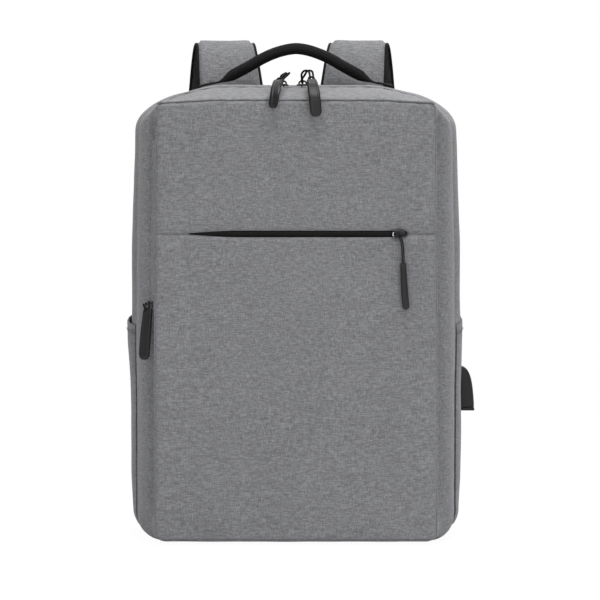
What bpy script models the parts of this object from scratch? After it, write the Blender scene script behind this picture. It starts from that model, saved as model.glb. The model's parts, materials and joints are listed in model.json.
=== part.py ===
"""Laptop backpack with an external USB charging port, closed and standing on its base.

Frame: metres, +Z up, origin at the middle of the base on the floor. The front faces -Y and the
back panel +Y. "Left" pieces lie towards -X and "right" pieces towards +X, as seen from the front.
All dimensions below are in millimetres and are turned into metres as vertices are made.
"""

import math
from collections import namedtuple

import bmesh
import bpy
import numpy as np
from mathutils import Vector

for old in list(bpy.data.objects):
    bpy.data.objects.remove(old, do_unlink=True)

# ================================================================ driving dimensions, mm
METRES_PER_MM = 0.001

BODY_W = 295.0        # widest part of the rear shell
BODY_H = 406.0        # floor to the top of the zip line
FRONT_W = 246.0       # flat front panel between its two folds
FRONT_Y = -60.0       # plane of the front panel
ZIP_Y = -4.0          # plane in which the main zip splits the bag
BACK_Y = 65.0         # outside of the back wall
WALL = 3.5            # lined and foam-backed wall
CORNER_R = 32.0       # top corners at the zip line
BASE_R = 18.0         # bottom corners
DOME = 10.0           # how far the top falls towards its corners
TAPER = 0.02          # share of the width lost over the taper
TAPER_Z0 = 150.0      # where the taper starts
TAPER_RISE = 250.0    # height over which it runs

TAPE_T = 1.5          # zip tape with its coil
COIL_GAP = 0.9        # half the gap between the two coils
CORD_R = 0.7          # cords of the zip pulls

FRONT_HINGE = (0, ZIP_Y, 0.0)   # the front turns about the base fold, in the zip plane
STRAP_PIVOT = (0, 71.0, 393.0)  # shoulder strap seam
HANDLE_PIVOT = (0, 32.0, 410.6)  # handle seam

X_AXIS, Y_AXIS, Z_AXIS = (1, 0, 0), (0, 1, 0), (0, 0, 1)
SIDES = (("left", -1), ("right", 1))  # name, sign of x

Section = namedtuple("Section", "y half_width top bottom top_radius base_radius fall")
# Columns: y, half width, top, bottom, top radius, base radius, fall towards the top corners
SECTIONS = {
    "front": Section(FRONT_Y, FRONT_W / 2, 393.0, 7.0, 7.0, 7.0, 2.5),
    "fold": Section(FRONT_Y + 5, FRONT_W / 2 + 3.0, 396.5, 3.5, 9.0, 9.0, 3.5),
    "pleat": Section(-50.0, 125.2, 398.3, 2.2, 13.0, 11.0, 4.6),
    "gusset": Section(-34.0, 135.0, 401.5, 1.0, 27.0, 17.0, 7.5),
    "zip_front": Section(ZIP_Y - 6.0, 143.5, BODY_H - 0.5, 0.0, CORNER_R, BASE_R, DOME),
    "zip_rear": Section(ZIP_Y + 6.0, 144.0, BODY_H, 0.0, CORNER_R, BASE_R, DOME),
    "middle": Section(25.0, BODY_W / 2, BODY_H + 1.0, 0.0, CORNER_R + 1, BASE_R, DOME),
    "rear": Section(50.0, BODY_W / 2 - 0.5, BODY_H, 0.0, CORNER_R + 1, BASE_R, DOME),
    "edge": Section(61.0, BODY_W / 2 - 3.5, BODY_H - 3.0, 3.0, CORNER_R, BASE_R, DOME),
    "back": Section(BACK_Y, BODY_W / 2 - 10.0, BODY_H - 9.0, 9.0, CORNER_R - 3, BASE_R - 2, DOME),
}

USB_X = SECTIONS["rear"].half_width   # side wall on which the port sits
USB_Y = 52.0                          # middle of the port

# ================================================================ collections and materials
PARTS = bpy.data.collections.new("laptop_backpack")
TOOLS = bpy.data.collections.new("cutters")
bpy.context.scene.collection.children.link(PARTS)
bpy.context.scene.collection.children.link(TOOLS)
TOOLS.hide_render = True

Finish = namedtuple("Finish", "colour roughness metallic")
FINISHES = {
    "shell_fabric": Finish(colour=(0.210, 0.212, 0.222), roughness=0.92, metallic=0.0),
    "lining": Finish(colour=(0.045, 0.046, 0.050), roughness=0.85, metallic=0.0),
    "air_mesh": Finish(colour=(0.020, 0.020, 0.021), roughness=0.95, metallic=0.0),
    "webbing": Finish(colour=(0.014, 0.014, 0.015), roughness=0.80, metallic=0.0),
    "zip_tape": Finish(colour=(0.010, 0.010, 0.011), roughness=0.75, metallic=0.0),
    "zip_metal": Finish(colour=(0.030, 0.030, 0.032), roughness=0.35, metallic=0.9),
    "soft_rubber": Finish(colour=(0.030, 0.030, 0.031), roughness=0.60, metallic=0.0),
    "plastic": Finish(colour=(0.016, 0.016, 0.017), roughness=0.45, metallic=0.0),
    "steel": Finish(colour=(0.620, 0.620, 0.630), roughness=0.30, metallic=1.0),
    "board": Finish(colour=(0.120, 0.120, 0.125), roughness=0.80, metallic=0.0),
    "cable": Finish(colour=(0.012, 0.012, 0.013), roughness=0.50, metallic=0.0),
}


def get_material(name):
    """The named material, made on its first use."""
    material = bpy.data.materials.get(name)
    if material is None:
        material = bpy.data.materials.new(name)
        material.use_nodes = True
        inputs = material.node_tree.nodes["Principled BSDF"].inputs
        finish = FINISHES[name]
        inputs["Base Color"].default_value = (*finish.colour, 1)
        inputs["Roughness"].default_value = finish.roughness
        inputs["Metallic"].default_value = finish.metallic
    return material


# ================================================================ object helpers
def metres(point):
    return Vector(point) * METRES_PER_MM


def add(name, mesh, material, smooth=35, collection=PARTS):
    """Link a mesh as an object; edges sharper than smooth degrees stay sharp."""
    obj = bpy.data.objects.new(name, mesh)
    collection.objects.link(obj)
    if material:
        mesh.materials.append(get_material(material))
        mesh.shade_smooth()
        mesh.set_sharp_from_angle(angle=math.radians(smooth))
    return obj


def mesh_of(bm, name, outward=True):
    if outward:
        bmesh.ops.recalc_face_normals(bm, faces=bm.faces)
    mesh = bpy.data.meshes.new(name)
    bm.to_mesh(mesh)
    bm.free()
    return mesh


def origin_to(point, *names):
    """Put each object's origin on its joint without moving its shape."""
    origin = metres(point)
    for name in names:
        obj = bpy.data.objects[name]
        if obj.type == "MESH":
            for vert in obj.data.vertices:
                vert.co -= origin
        else:
            for spline in obj.data.splines:
                for control in spline.points:
                    control.co.xyz -= origin
        obj.location = origin


def round_edges(obj, width, segments, angle=30):
    bevel = obj.modifiers.new("round", "BEVEL")
    bevel.width = width * METRES_PER_MM
    bevel.segments = segments
    bevel.limit_method = "ANGLE"
    bevel.angle_limit = math.radians(angle)


def thicken(obj, thickness, offset):
    """Give a skin a wall: offset -1 grows it inwards, 1 outwards."""
    wall = obj.modifiers.new("wall", "SOLIDIFY")
    wall.thickness = thickness * METRES_PER_MM
    wall.offset = offset
    wall.use_even_offset = False


def combine(obj, tool, operation, label):
    """Boolean obj with a hidden tool."""
    tool.hide_render = True
    tool.display_type = "WIRE"
    boolean = obj.modifiers.new(label, "BOOLEAN")
    boolean.operation = operation
    boolean.object = tool
    boolean.solver = "EXACT"


def box(name, low, high, material, bevel=0.0, segments=2, collection=PARTS):
    """Box between two opposite corners."""
    bm = bmesh.new()
    bmesh.ops.create_cube(bm, size=1.0)
    for vert in bm.verts:
        vert.co = metres([(low[k] + high[k]) / 2 + vert.co[k] * (high[k] - low[k])
                          for k in range(3)])
    obj = add(name, mesh_of(bm, name), material, collection=collection)
    if bevel:
        round_edges(obj, bevel, segments)
    return obj


def cut_box(obj, name, low, high):
    """Cut a box-shaped opening."""
    combine(obj, box(name, low, high, None, collection=TOOLS), "DIFFERENCE", "cut_" + name)


def loft(name, rings, material, cap_start=True, smooth=35):
    """Skin between closed rings of equal length, capped at the end and, if asked, the start."""
    bm = bmesh.new()
    rows = [[bm.verts.new(metres(point)) for point in ring] for ring in rings]
    count = len(rows[0])
    for row, following in zip(rows, rows[1:]):
        for i in range(count):
            j = (i + 1) % count
            bm.faces.new((row[i], row[j], following[j], following[i]))
    if cap_start:
        bm.faces.new(list(reversed(rows[0])))
    bm.faces.new(rows[-1])
    return add(name, mesh_of(bm, name), material, smooth)


def tube(name, points, radius, material):
    """A cord or cable: straight-segment curve with a round bevel."""
    curve = bpy.data.curves.new(name, "CURVE")
    curve.dimensions = "3D"
    curve.bevel_depth = radius * METRES_PER_MM
    curve.bevel_resolution = 1
    curve.use_fill_caps = True
    spline = curve.splines.new("POLY")
    spline.points.add(len(points) - 1)
    for control, point in zip(spline.points, points):
        control.co = (*metres(point), 1)
    PARTS.objects.link(bpy.data.objects.new(name, curve))
    curve.materials.append(get_material(material))


def direction(path, i):
    """Unit direction of a path at its point i, from the point before to the point after."""
    before, after = path[max(i - 1, 0)], path[min(i + 1, len(path) - 1)]
    return (Vector(after) - Vector(before)).normalized()


def slab_ring(centre, across, normal, width, thickness, corner):
    """Cross-section of a band: a flat rectangle with its four corners broken."""
    centre, across, normal = Vector(centre), Vector(across).normalized(), Vector(normal).normalized()
    half_w, half_t = width / 2, thickness / 2
    offsets = [(-half_w, -half_t + corner), (-half_w + corner, -half_t),
               (half_w - corner, -half_t), (half_w, -half_t + corner),
               (half_w, half_t - corner), (half_w - corner, half_t),
               (-half_w + corner, half_t), (-half_w, half_t - corner)]
    return [tuple(centre + across * p + normal * q) for p, q in offsets]


def band(name, path, width, thickness, material, side=X_AXIS,
         corner=None, corner_ratio=0.3, smooth=40):
    """Strap along a path; side is the direction of its width.

    Width and thickness are single values or one per point. Without a fixed corner, the broken
    corner is corner_ratio times the local thickness.
    """
    widths = width if isinstance(width, list) else [width] * len(path)
    depths = thickness if isinstance(thickness, list) else [thickness] * len(path)
    rings = []
    for i, (point, local_w, local_t) in enumerate(zip(path, widths, depths)):
        along = direction(path, i)
        across = Vector(side)
        across = (across - along * across.dot(along)).normalized()
        local_corner = local_t * corner_ratio if corner is None else corner
        rings.append(slab_ring(point, across, along.cross(across), local_w, local_t, local_corner))
    return loft(name, rings, material, smooth=smooth)


def mirrored(half):
    """Whole profile from (x, value) pairs listed from the middle outwards."""
    return [(-x, value) for x, value in reversed(half[1:])] + half


# ================================================================ the bag's outline
BASE_XS = (0.0, 45.0, 90.0)                      # points along the flat base
TOP_XS = (100.0, 88.0, 76.0, 64.0, 32.0, 0.0)    # points along the top
CORNER_STEPS = 6


def smooth_step(t):
    t = max(0.0, min(1.0, t))
    return t * t * (3 - 2 * t)


def taper(z):
    """Width factor of the bag at height z."""
    return 1 - TAPER * max(0.0, min(1.0, (z - TAPER_Z0) / TAPER_RISE))


def outline(section, shrink=0.0):
    """Closed outline of a section, from the middle of the base and up the +X side first."""
    half_width, top = section.half_width - shrink, section.top - shrink
    bottom = section.bottom + shrink
    top_r, base_r = section.top_radius - shrink, section.base_radius - shrink
    right = [(x, bottom) for x in BASE_XS]
    for k in range(CORNER_STEPS + 1):
        angle = -math.pi / 2 + k * math.pi / 2 / CORNER_STEPS
        right.append((half_width - base_r + base_r * math.cos(angle),
                      bottom + base_r + base_r * math.sin(angle)))
    for k in range(1, 4):
        right.append((half_width, bottom + base_r + (top - top_r - bottom - base_r) * k / 4))
    for k in range(CORNER_STEPS + 1):
        angle = k * math.pi / 2 / CORNER_STEPS
        right.append((half_width - top_r + top_r * math.cos(angle),
                      top - top_r + top_r * math.sin(angle)))
    right += [(x, top) for x in TOP_XS if x < half_width - top_r - 4]
    points = []
    for x, z in right + [(-x, z) for x, z in reversed(right[1:-1])]:
        x *= taper(z)
        # the fall grows outwards along the top and fades out below the corners
        outwards = smooth_step((abs(x) - 66) / 58)
        upwards = smooth_step((z - top + top_r + 6) / (top_r + 6))
        points.append((x, section.y, z - section.fall * outwards * upwards))
    return points


# ================================================================ main shells
POCKET_ZIP_Z = 277.0
POCKET_ZIP_X0, POCKET_ZIP_X1 = -103.0, 99.0
POCKET_MOUTH_HALF = 3.2
USB_HOLE_HALF = 4.0
USB_HOLE_Z = 128.0


def shell(name, keys):
    """A tray: open at the first section, closed across the last."""
    rings = [outline(SECTIONS[key]) for key in keys]
    obj = loft(name, rings, "shell_fabric", cap_start=False, smooth=25)
    thicken(obj, WALL, offset=-1.0)
    return obj


def build_shells():
    rear = shell("rear_shell", ["zip_rear", "middle", "rear", "edge", "back"])
    front = shell("front_shell", ["zip_front", "gusset", "pleat", "fold", "front"])
    cut_box(front, "cut_pocket_mouth",
            (POCKET_ZIP_X0, FRONT_Y - 6, POCKET_ZIP_Z - POCKET_MOUTH_HALF),
            (POCKET_ZIP_X1, FRONT_Y + 8, POCKET_ZIP_Z + POCKET_MOUTH_HALF))
    # opening in the side wall where the port's lead goes in
    cut_box(rear, "cut_port_lead",
            (128, USB_Y - USB_HOLE_HALF, USB_HOLE_Z - USB_HOLE_HALF),
            (156, USB_Y + USB_HOLE_HALF, USB_HOLE_Z + USB_HOLE_HALF))
    box("base_hinge", (-124, ZIP_Y - 4.8, 0.0), (124, ZIP_Y + 4.8, 2.4), "shell_fabric", 0.3, 1)


def build_front_piping():
    """Piping over the fold between the front panel and the top gusset."""
    section = SECTIONS["front"]._replace(y=FRONT_Y + 1.5, half_width=FRONT_W / 2 - 1.0, top=396.4)
    tube("front_piping", [p for p in outline(section) if p[2] > 390], 0.8, "shell_fabric")


# ================================================================ zip sliders and pulls
SLIDER_L, PLATE_W, PLATE_T = 12.0, 9.0, 1.5
BAIL_HEIGHT = 5.0     # bail's rod above the coil
BAIL_R = 0.8
EYE_R = 1.9           # cord's eye round the bail
EYE_POINTS = 10


def slider(name, base, along, out, bail_across=False, lift=0.0, low_width=PLATE_W):
    """Zip slider: two plates joined by a web between the coils, and a bail for the cord.

    base is on the coil's outer face; along and out are unit axes. Returns the bail's centre.
    """
    base, along, out = Vector(base), Vector(along), Vector(out)
    across = along.cross(out)
    rod_axis, post_axis = (across, along) if bail_across else (along, across)
    bail = base + out * (BAIL_HEIGHT + lift)

    def block(block_name, offset, first, first_size, out_size, last, last_size, collection=TOOLS):
        bm = bmesh.new()
        bmesh.ops.create_cube(bm, size=1.0)
        for vert in bm.verts:
            x, y, z = vert.co
            vert.co = metres(base + offset + first * (x * first_size) + out * (y * out_size)
                             + last * (z * last_size))
        return add(block_name, mesh_of(bm, block_name), "zip_metal", collection=collection)

    plate = block(name, out * (1.35 + lift), along, SLIDER_L, PLATE_T, across, PLATE_W, PARTS)
    round_edges(plate, 0.5, 1)
    tools = [block("tool_low_" + name, out * (-TAPE_T - 1.15),
                   along, SLIDER_L, PLATE_T, across, low_width),
             block("tool_web_" + name, along * 1.0 + out * (-0.65 + lift / 2),
                   along, 8.0, 5.0 + lift, across, 0.9)]
    reach = 3.0 if bail_across else 3.8
    for k in (-1, 1):
        tools.append(block(f"tool_post_{name}_{k}", rod_axis * (k * reach) + out * (3.75 + lift),
                           rod_axis, 1.6, 4.4, post_axis, 2.4))
    bm = bmesh.new()
    bmesh.ops.create_cone(bm, cap_ends=True, segments=10, radius1=BAIL_R, radius2=BAIL_R,
                          depth=2 * reach)
    turn = Vector(Z_AXIS).rotation_difference(rod_axis).to_matrix()
    for vert in bm.verts:
        vert.co = metres(bail + turn @ vert.co)
    rod_name = "tool_rod_" + name
    tools.append(add(rod_name, mesh_of(bm, rod_name), "zip_metal", collection=TOOLS))
    for tool in tools:
        combine(plate, tool, "UNION", "join")
    return bail


def cord(name, bail, start, sweep, path, first_axis=Y_AXIS):
    """Cord of a pull: an open eye round the bail, then along path.

    The eye lies in the plane of first_axis and Z; start and sweep are in degrees.
    """
    points = []
    for k in range(EYE_POINTS):
        angle = math.radians(start + sweep * k / (EYE_POINTS - 1))
        points.append(tuple(Vector(bail) + Vector(first_axis) * (EYE_R * math.cos(angle))
                            + Vector(Z_AXIS) * (EYE_R * math.sin(angle))))
    tube(name, points + [tuple(point) for point in path], CORD_R, "webbing")


# ================================================================ main zip
MAIN_GRIP_T = 4.4
Pull = namedtuple("Pull", "slider_x grip_width cord grip")
# Cord and grip are (x, y, z) points that run forwards over the top and down the front.
MAIN_PULLS = {
    "left": Pull(
        slider_x=-12.0, grip_width=9.0,
        cord=[(-12.2, -7.5, 413.4), (-12.6, -13, 414.6), (-13.6, -20, 414.6),
              (-15.0, -27, 413.0), (-16.0, -33.5, 410.4)],
        grip=[(-16.0, -34.5, 409.8), (-16.2, -36.5, 409.0), (-17.0, -46, 406.0),
              (-18.2, -56.0, 402.6), (-19.2, -63.4, 397.0), (-19.9, -66.2, 390.5),
              (-20.1, -66.6, 387.6)]),
    "right": Pull(
        slider_x=6.0, grip_width=10.0,
        cord=[(6.4, -7.5, 414.0), (7.6, -13, 416.4), (10.0, -20, 417.0),
              (12.4, -27, 414.4), (13.6, -32.5, 410.8)],
        grip=[(13.7, -33.5, 410.2), (13.8, -35.5, 409.4), (14.4, -45.5, 406.6),
              (15.4, -56.0, 402.8), (16.6, -63.6, 396.0), (17.4, -66.2, 387.0),
              (17.8, -66.6, 381.4)]),
}


def main_tape(name, key, y0, y1):
    """Half of the main zip: a strip from one bottom corner over the top to the other."""
    above_base = slice(len(BASE_XS), 1 - len(BASE_XS))
    outer = outline(SECTIONS[key])[above_base]
    inner = outline(SECTIONS[key], shrink=TAPE_T)[above_base]
    rings = [[(x0, y0, z0), (x0, y1, z0), (x1, y1, z1), (x1, y0, z1)]
             for (x0, _, z0), (x1, _, z1) in zip(outer, inner)]
    loft(name, rings, "zip_tape", smooth=40)


def build_main_zip():
    main_tape("front_zip_tape", "zip_front", ZIP_Y - 5.3, ZIP_Y - COIL_GAP)
    main_tape("rear_zip_tape", "zip_rear", ZIP_Y + COIL_GAP, ZIP_Y + 5.6)
    for tag, pull in MAIN_PULLS.items():
        names = ["main_slider_" + tag, "main_cord_" + tag, "main_grip_" + tag]
        bail = slider(names[0], (pull.slider_x, ZIP_Y, BODY_H - 0.1), X_AXIS, Z_AXIS)
        cord(names[1], bail, -180, 270, pull.cord)
        inner_count = len(pull.grip) - 2
        # the moulded grip narrows and thins at both ends
        widths = [pull.grip_width * k for k in [0.72] + [1] * inner_count + [0.62]]
        depths = [MAIN_GRIP_T * k for k in [0.8] + [1] * inner_count + [0.7]]
        band(names[2], pull.grip, widths, depths, "soft_rubber", corner=MAIN_GRIP_T * 0.3)
        origin_to(bail, *names)


# ================================================================ front pocket
POCKET_SLIDER_X = 91.0
POCKET_CORD = [(91.3, -66.9, 275.1), (92.6, -66.7, 272.1), (93.8, -66.0, 267.5),
               (94.2, -65.2, 260.5), (94.4, -64.4, 252.3)]
# Columns: x, distance in front of the panel, z, width, thickness
POCKET_GRIP = [
    (94.4, 4.2, 251.7, 3.6, 3.0), (94.5, 4.0, 249.9, 5.2, 4), (94.9, 3.8, 240, 5.6, 4),
    (95.8, 3.6, 226, 5.8, 4), (96.9, 3.4, 214, 5.6, 4), (97.2, 3.4, 211.6, 3.8, 3.0)]


def build_front_pocket():
    for tag, z0, z1 in (("upper", 0.8, 2.8), ("lower", -2.8, -0.8)):
        box("pocket_tape_" + tag, (POCKET_ZIP_X0 + 0.5, FRONT_Y + 1.0, POCKET_ZIP_Z + z0),
            (POCKET_ZIP_X1 - 0.5, FRONT_Y + 2.6, POCKET_ZIP_Z + z1), "zip_tape")
    bail = slider("pocket_slider", (POCKET_SLIDER_X, FRONT_Y + 1.0, POCKET_ZIP_Z),
                  X_AXIS, (0, -1, 0), lift=1.0, low_width=5.6)
    cord("pocket_cord", bail, -90, 270, POCKET_CORD)
    band("pocket_grip", [(x, FRONT_Y - gap, z) for x, gap, z, _, _ in POCKET_GRIP],
         [row[3] for row in POCKET_GRIP], [row[4] for row in POCKET_GRIP],
         "soft_rubber", side=(1, 0, 0.06))
    origin_to(bail, "pocket_slider", "pocket_cord", "pocket_grip")
    # the pocket's lining hangs behind the panel
    band("pocket_lining", [(0, FRONT_Y + 9.5, z) for z in (292, 200, 90)], 226, 1.2, "lining")


def build_front_interior():
    box("organiser_panel", (-116, -38, 40), (116, -35, 250), "lining", 0.8, 1)
    box("organiser_pocket", (-100, -34.4, 48), (10, -32.4, 170), "air_mesh", 0.6, 1)
    box("base_board", (-118, -46, 7.4), (118, -13, 9.8), "board", 0.6, 1)


# ================================================================ left side zip
SIDE_ZIP_X, SIDE_ZIP_Y = -127.4, -48.7       # on the slope behind the pleat
SIDE_ZIP_Z0, SIDE_ZIP_Z1 = 205.0, 360.0
SIDE_SLIDER_Z = 214.0
SIDE_TAPE_LIFT = 1.0
SIDE_OUT = Vector((-0.894, -0.447, 0)).normalized()
SIDE_FORWARD = Vector((-SIDE_OUT.y, SIDE_OUT.x, 0))   # across the zip, towards the front
# Columns: distance outwards from the bail, height above it
SIDE_CORD = [(1.9, -2.4), (1.4, -7), (0.2, -11.4)]
# Columns: x and z from the bail, width, thickness
SIDE_GRIP = [(0, -12, 5, 3), (-0.1, -13.6, 7.5, 4.2), (-0.6, -25, 9.0, 4.2),
             (-1.0, -36, 9.5, 4.2), (-1.2, -45, 9.5, 4.2), (-1.2, -47.5, 6.5, 3)]


def side_line(z, lift=0.0):
    """Point on the middle of the side zip at height z, lift outside the fabric."""
    return Vector((SIDE_ZIP_X * taper(z), SIDE_ZIP_Y, z)) + SIDE_OUT * lift


def side_tape(name, near, far):
    """Vertical strip between two distances across the side zip."""
    corners = ((near, 0), (far, 0), (far, TAPE_T), (near, TAPE_T))
    rings = []
    for z in (SIDE_ZIP_Z0, SIDE_ZIP_Z1):
        centre = side_line(z, SIDE_TAPE_LIFT)
        rings.append([tuple(centre + SIDE_FORWARD * p + SIDE_OUT * q) for p, q in corners])
    loft(name, rings, "zip_tape")


def build_side_zip():
    side_tape("side_tape_front", 0.8, 3.2)
    side_tape("side_tape_rear", -3.2, -0.8)
    along = (side_line(SIDE_ZIP_Z1) - side_line(SIDE_ZIP_Z0)).normalized()
    bail = slider("side_slider", side_line(SIDE_SLIDER_Z, SIDE_TAPE_LIFT + TAPE_T), along,
                  SIDE_OUT, bail_across=True, low_width=5.0)
    cord("side_cord", bail, 270, -270,
         [bail + SIDE_OUT * out + Vector((0, 0, z)) for out, z in SIDE_CORD],
         first_axis=SIDE_OUT)
    band("side_grip", [tuple(bail + Vector((x, 0, z))) for x, z, _, _ in SIDE_GRIP],
         [row[2] for row in SIDE_GRIP], [row[3] for row in SIDE_GRIP],
         "soft_rubber", side=SIDE_FORWARD)
    origin_to(bail, "side_slider", "side_cord", "side_grip")


# ================================================================ side pockets
SIDE_POCKET_ZS = [14, 30, 70, 110, 150, 190]
# Columns: y, how far the pocket stands off the side wall
SIDE_POCKET_BULGE = [(6, 0.0), (9, 2.0), (15, 3.0), (24, 3.6), (33, 3.2), (38, 2.2), (41, 0.0)]
SIDE_POCKET_T = 1.4


def side_wall_x(side, y, z, gap):
    """x at a gap outside the rear shell's side wall."""
    walls = [SECTIONS[key] for key in ("zip_rear", "middle", "rear", "edge")]
    half_width = float(np.interp(y, [s.y for s in walls], [s.half_width for s in walls]))
    return side * (half_width * taper(z) + gap)


def side_pocket(tag, side):
    """Panel standing off the side wall, sewn down at its foot and both sides, open on top."""
    bm = bmesh.new()
    rows = []
    for i, z in enumerate(SIDE_POCKET_ZS):
        rows.append([bm.verts.new(metres((side_wall_x(side, y, z, 0.6 + (bulge if i else 0.0)),
                                          y, z))) for y, bulge in SIDE_POCKET_BULGE])
    for lower, upper in zip(rows, rows[1:]):
        # swapping the rows between the sides keeps every face turned outwards
        start, end = (lower, upper) if side < 0 else (upper, lower)
        for i in range(len(SIDE_POCKET_BULGE) - 1):
            bm.faces.new((start[i], end[i], end[i + 1], start[i + 1]))
    name = "side_pocket_" + tag
    thicken(add(name, mesh_of(bm, name, outward=False), "shell_fabric"), SIDE_POCKET_T, offset=1.0)
    # elastic binding over the pocket's mouth
    mouth = [(side_wall_x(side, y, 192, 1.3 + bulge), y, 192.2) for y, bulge in SIDE_POCKET_BULGE]
    band("pocket_binding_" + tag, mouth, 3.2, 2.6, "webbing", side=Z_AXIS, corner=0.5)


# ================================================================ back panel
PAD_BASE_Y, PAD_FACE_Y = BACK_Y + 0.4, BACK_Y + 8.0
PAD_CORNER_R = 22
# Columns: share of the pad's depth, inset of its edge
PAD_CROWN = [(0, 0), (0.55, 0.6), (0.9, 3.0), (1, 7.0)]
LUGGAGE_Z = 130
# Columns: x, distance behind the back wall; from the middle outwards
LUGGAGE_HALF = [(0, 11.4), (60, 11.2), (104, 10.6), (113, 8.6), (119, 3.0), (123, 1.6)]


def back_pad(name, x0, x1, z0, z1):
    """Crowned pad: rounded-rectangle base with a smaller, raised face."""
    rings = []
    for share, inset in PAD_CROWN:
        y = PAD_BASE_Y + (PAD_FACE_Y - PAD_BASE_Y) * share
        radius = PAD_CORNER_R - inset
        # the corner centres do not move, as the radius shrinks by the inset
        left, right = x0 + PAD_CORNER_R, x1 - PAD_CORNER_R
        low, high = z0 + PAD_CORNER_R, z1 - PAD_CORNER_R
        ring = []
        for x, z, start in ((right, low, -90), (right, high, 0), (left, high, 90), (left, low, 180)):
            for k in range(5):
                angle = math.radians(start + k * 22.5)
                ring.append((x + radius * math.cos(angle), y, z + radius * math.sin(angle)))
        rings.append(ring)
    loft(name, rings, "air_mesh", smooth=60)


def build_back_panel():
    back_pad("back_pad_left", -112, -9, 196, 372)
    back_pad("back_pad_right", 9, 112, 196, 372)
    back_pad("lumbar_pad", -112, 112, 42, 178)
    # pass-through band for a trolley handle
    band("luggage_band", [(x, BACK_Y + gap, LUGGAGE_Z) for x, gap in mirrored(LUGGAGE_HALF)],
         62, 1.6, "shell_fabric", side=Z_AXIS, corner=0.4)
    # yoke where the shoulder straps are sewn to the back
    box("strap_yoke", (-98, BACK_Y + 0.4, 376), (98, BACK_Y + 3.2, 390), "shell_fabric", 0.8, 1)


# ================================================================ handle
# Columns: distance from the middle, rise above the seam
HANDLE_RISE = [(0.0, 28.8), (9.0, 27.8), (16.0, 25.8), (24.0, 22.9), (31.0, 19.5), (38.0, 15.4),
               (45.0, 11.0), (52.5, 7.0), (60.0, 3.6), (65.0, 1.6), (69.0, 0.6)]
# Columns: distance from the middle, width
HANDLE_WIDTH = [(0.0, 22.0), (38.0, 22.0), (45.0, 19.0), (52.5, 15.0), (60.0, 11.0),
                (65.0, 7.5), (69.0, 5.0)]
# Columns: distance from the middle, thickness
HANDLE_DEPTH = [(0.0, 9.0), (45.0, 9.0), (52.5, 7.5), (60.0, 5.0), (65.0, 3.4), (69.0, 2.8)]
# Columns: distance from the middle, z
HANDLE_ANCHOR = [(73.0, 409.3), (80, 408.4), (88, 406.8), (98, 404.4)]


def build_handle():
    _, seam_y, seam_z = HANDLE_PIVOT
    arc = [(x, seam_y, seam_z + rise) for x, rise in mirrored(HANDLE_RISE)]
    widths, depths = ([float(np.interp(abs(x), *zip(*table))) for x, _, _ in arc]
                      for table in (HANDLE_WIDTH, HANDLE_DEPTH))
    band("top_handle", arc, widths, depths, "webbing", side=Y_AXIS, corner_ratio=0.32, smooth=60)
    origin_to(HANDLE_PIVOT, "top_handle")
    for tag, side in SIDES:
        band("handle_anchor_" + tag, [(side * x, seam_y, z) for x, z in HANDLE_ANCHOR],
             22, 1.8, "webbing", side=Y_AXIS, corner=0.4)


# ================================================================ shoulder straps
# Columns: y, z, distance from the middle, width, thickness
STRAP_PAD = [
    (71.5, 395.6, 55.0, 58, 7), (73.0, 406, 56.5, 57.5, 8), (77, 420, 58.0, 56, 8.5),
    (83, 433, 59.5, 54, 8.5), (91, 441.5, 61, 52.5, 8.5), (100.5, 441.5, 63, 52, 8.5),
    (109, 434, 65, 52, 8.5), (115, 419, 67, 52, 8.5), (118, 398, 69, 52, 9),
    (119, 368, 72.5, 52, 9.5), (118, 328, 80, 52, 10), (115, 284, 84.5, 50.5, 10),
    (111, 240, 89, 48, 10), (106.5, 200, 92, 44, 9), (103.0, 172, 93.2, 38, 5.2),
    (102, 151, 93.5, 30, 4.4)]
STRAP_X = 93.5        # strap's lower end, from the middle
STRAP_LEAN = -4.0     # both straps lie a little towards -X at the top
LOCK_Y = 102.0        # middle of the ladder lock
LOCK_SLOTS = ((130.2, 139.0), (118.6, 126.0))   # bottom and top of each slot
WEB_W, WEB_T = 25, 1.0
WEB_REAR_Y, WEB_FRONT_Y = LOCK_Y + 2.9, LOCK_Y - 2.9   # webbing's runs behind and before the lock
TAIL_Y, TAIL_TOP = WEB_REAR_Y + 2.3, 123.4
WING_X = 121.5        # sewn anchor at the back's lower corner
# Columns: x either side of WING_X, y of the front and rear faces, z
WING_RINGS = [(-13, 13, 66.0, 68.4, 38.6), (-15, 15, 65.6, 67.6, 28), (-17, 11, 65.5, 67.0, 16)]


def strap_pad(tag, side):
    path = [(0, y, z) for y, z, _, _, _ in STRAP_PAD]
    rings = []
    for i, (y, z, x, width, thickness) in enumerate(STRAP_PAD):
        normal = direction(path, i).cross(Vector(X_AXIS))
        lean = STRAP_LEAN * smooth_step((z - 290) / 90)
        rings.append(slab_ring((side * x + lean, y, z), X_AXIS, normal, width, thickness,
                               corner=thickness * 0.3))
    loft("strap_pad_" + tag, rings, "shell_fabric", smooth=60)


def ladder_lock(tag, x):
    """One frame with three cross bars."""
    lock = box("ladder_lock_" + tag, (x - 20, LOCK_Y - 1.8, 115), (x + 20, LOCK_Y + 1.8, 143),
               "plastic", 1.0, 2)
    for k, (z0, z1) in enumerate(LOCK_SLOTS):
        cut_box(lock, f"cut_lock_{tag}_{k}", (x - 14.4, LOCK_Y - 8, z0), (x + 14.4, LOCK_Y + 8, z1))


def strap_web(name, path, thickness=WEB_T):
    band(name, path, WEB_W, thickness, "webbing", corner=0.25)


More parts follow.
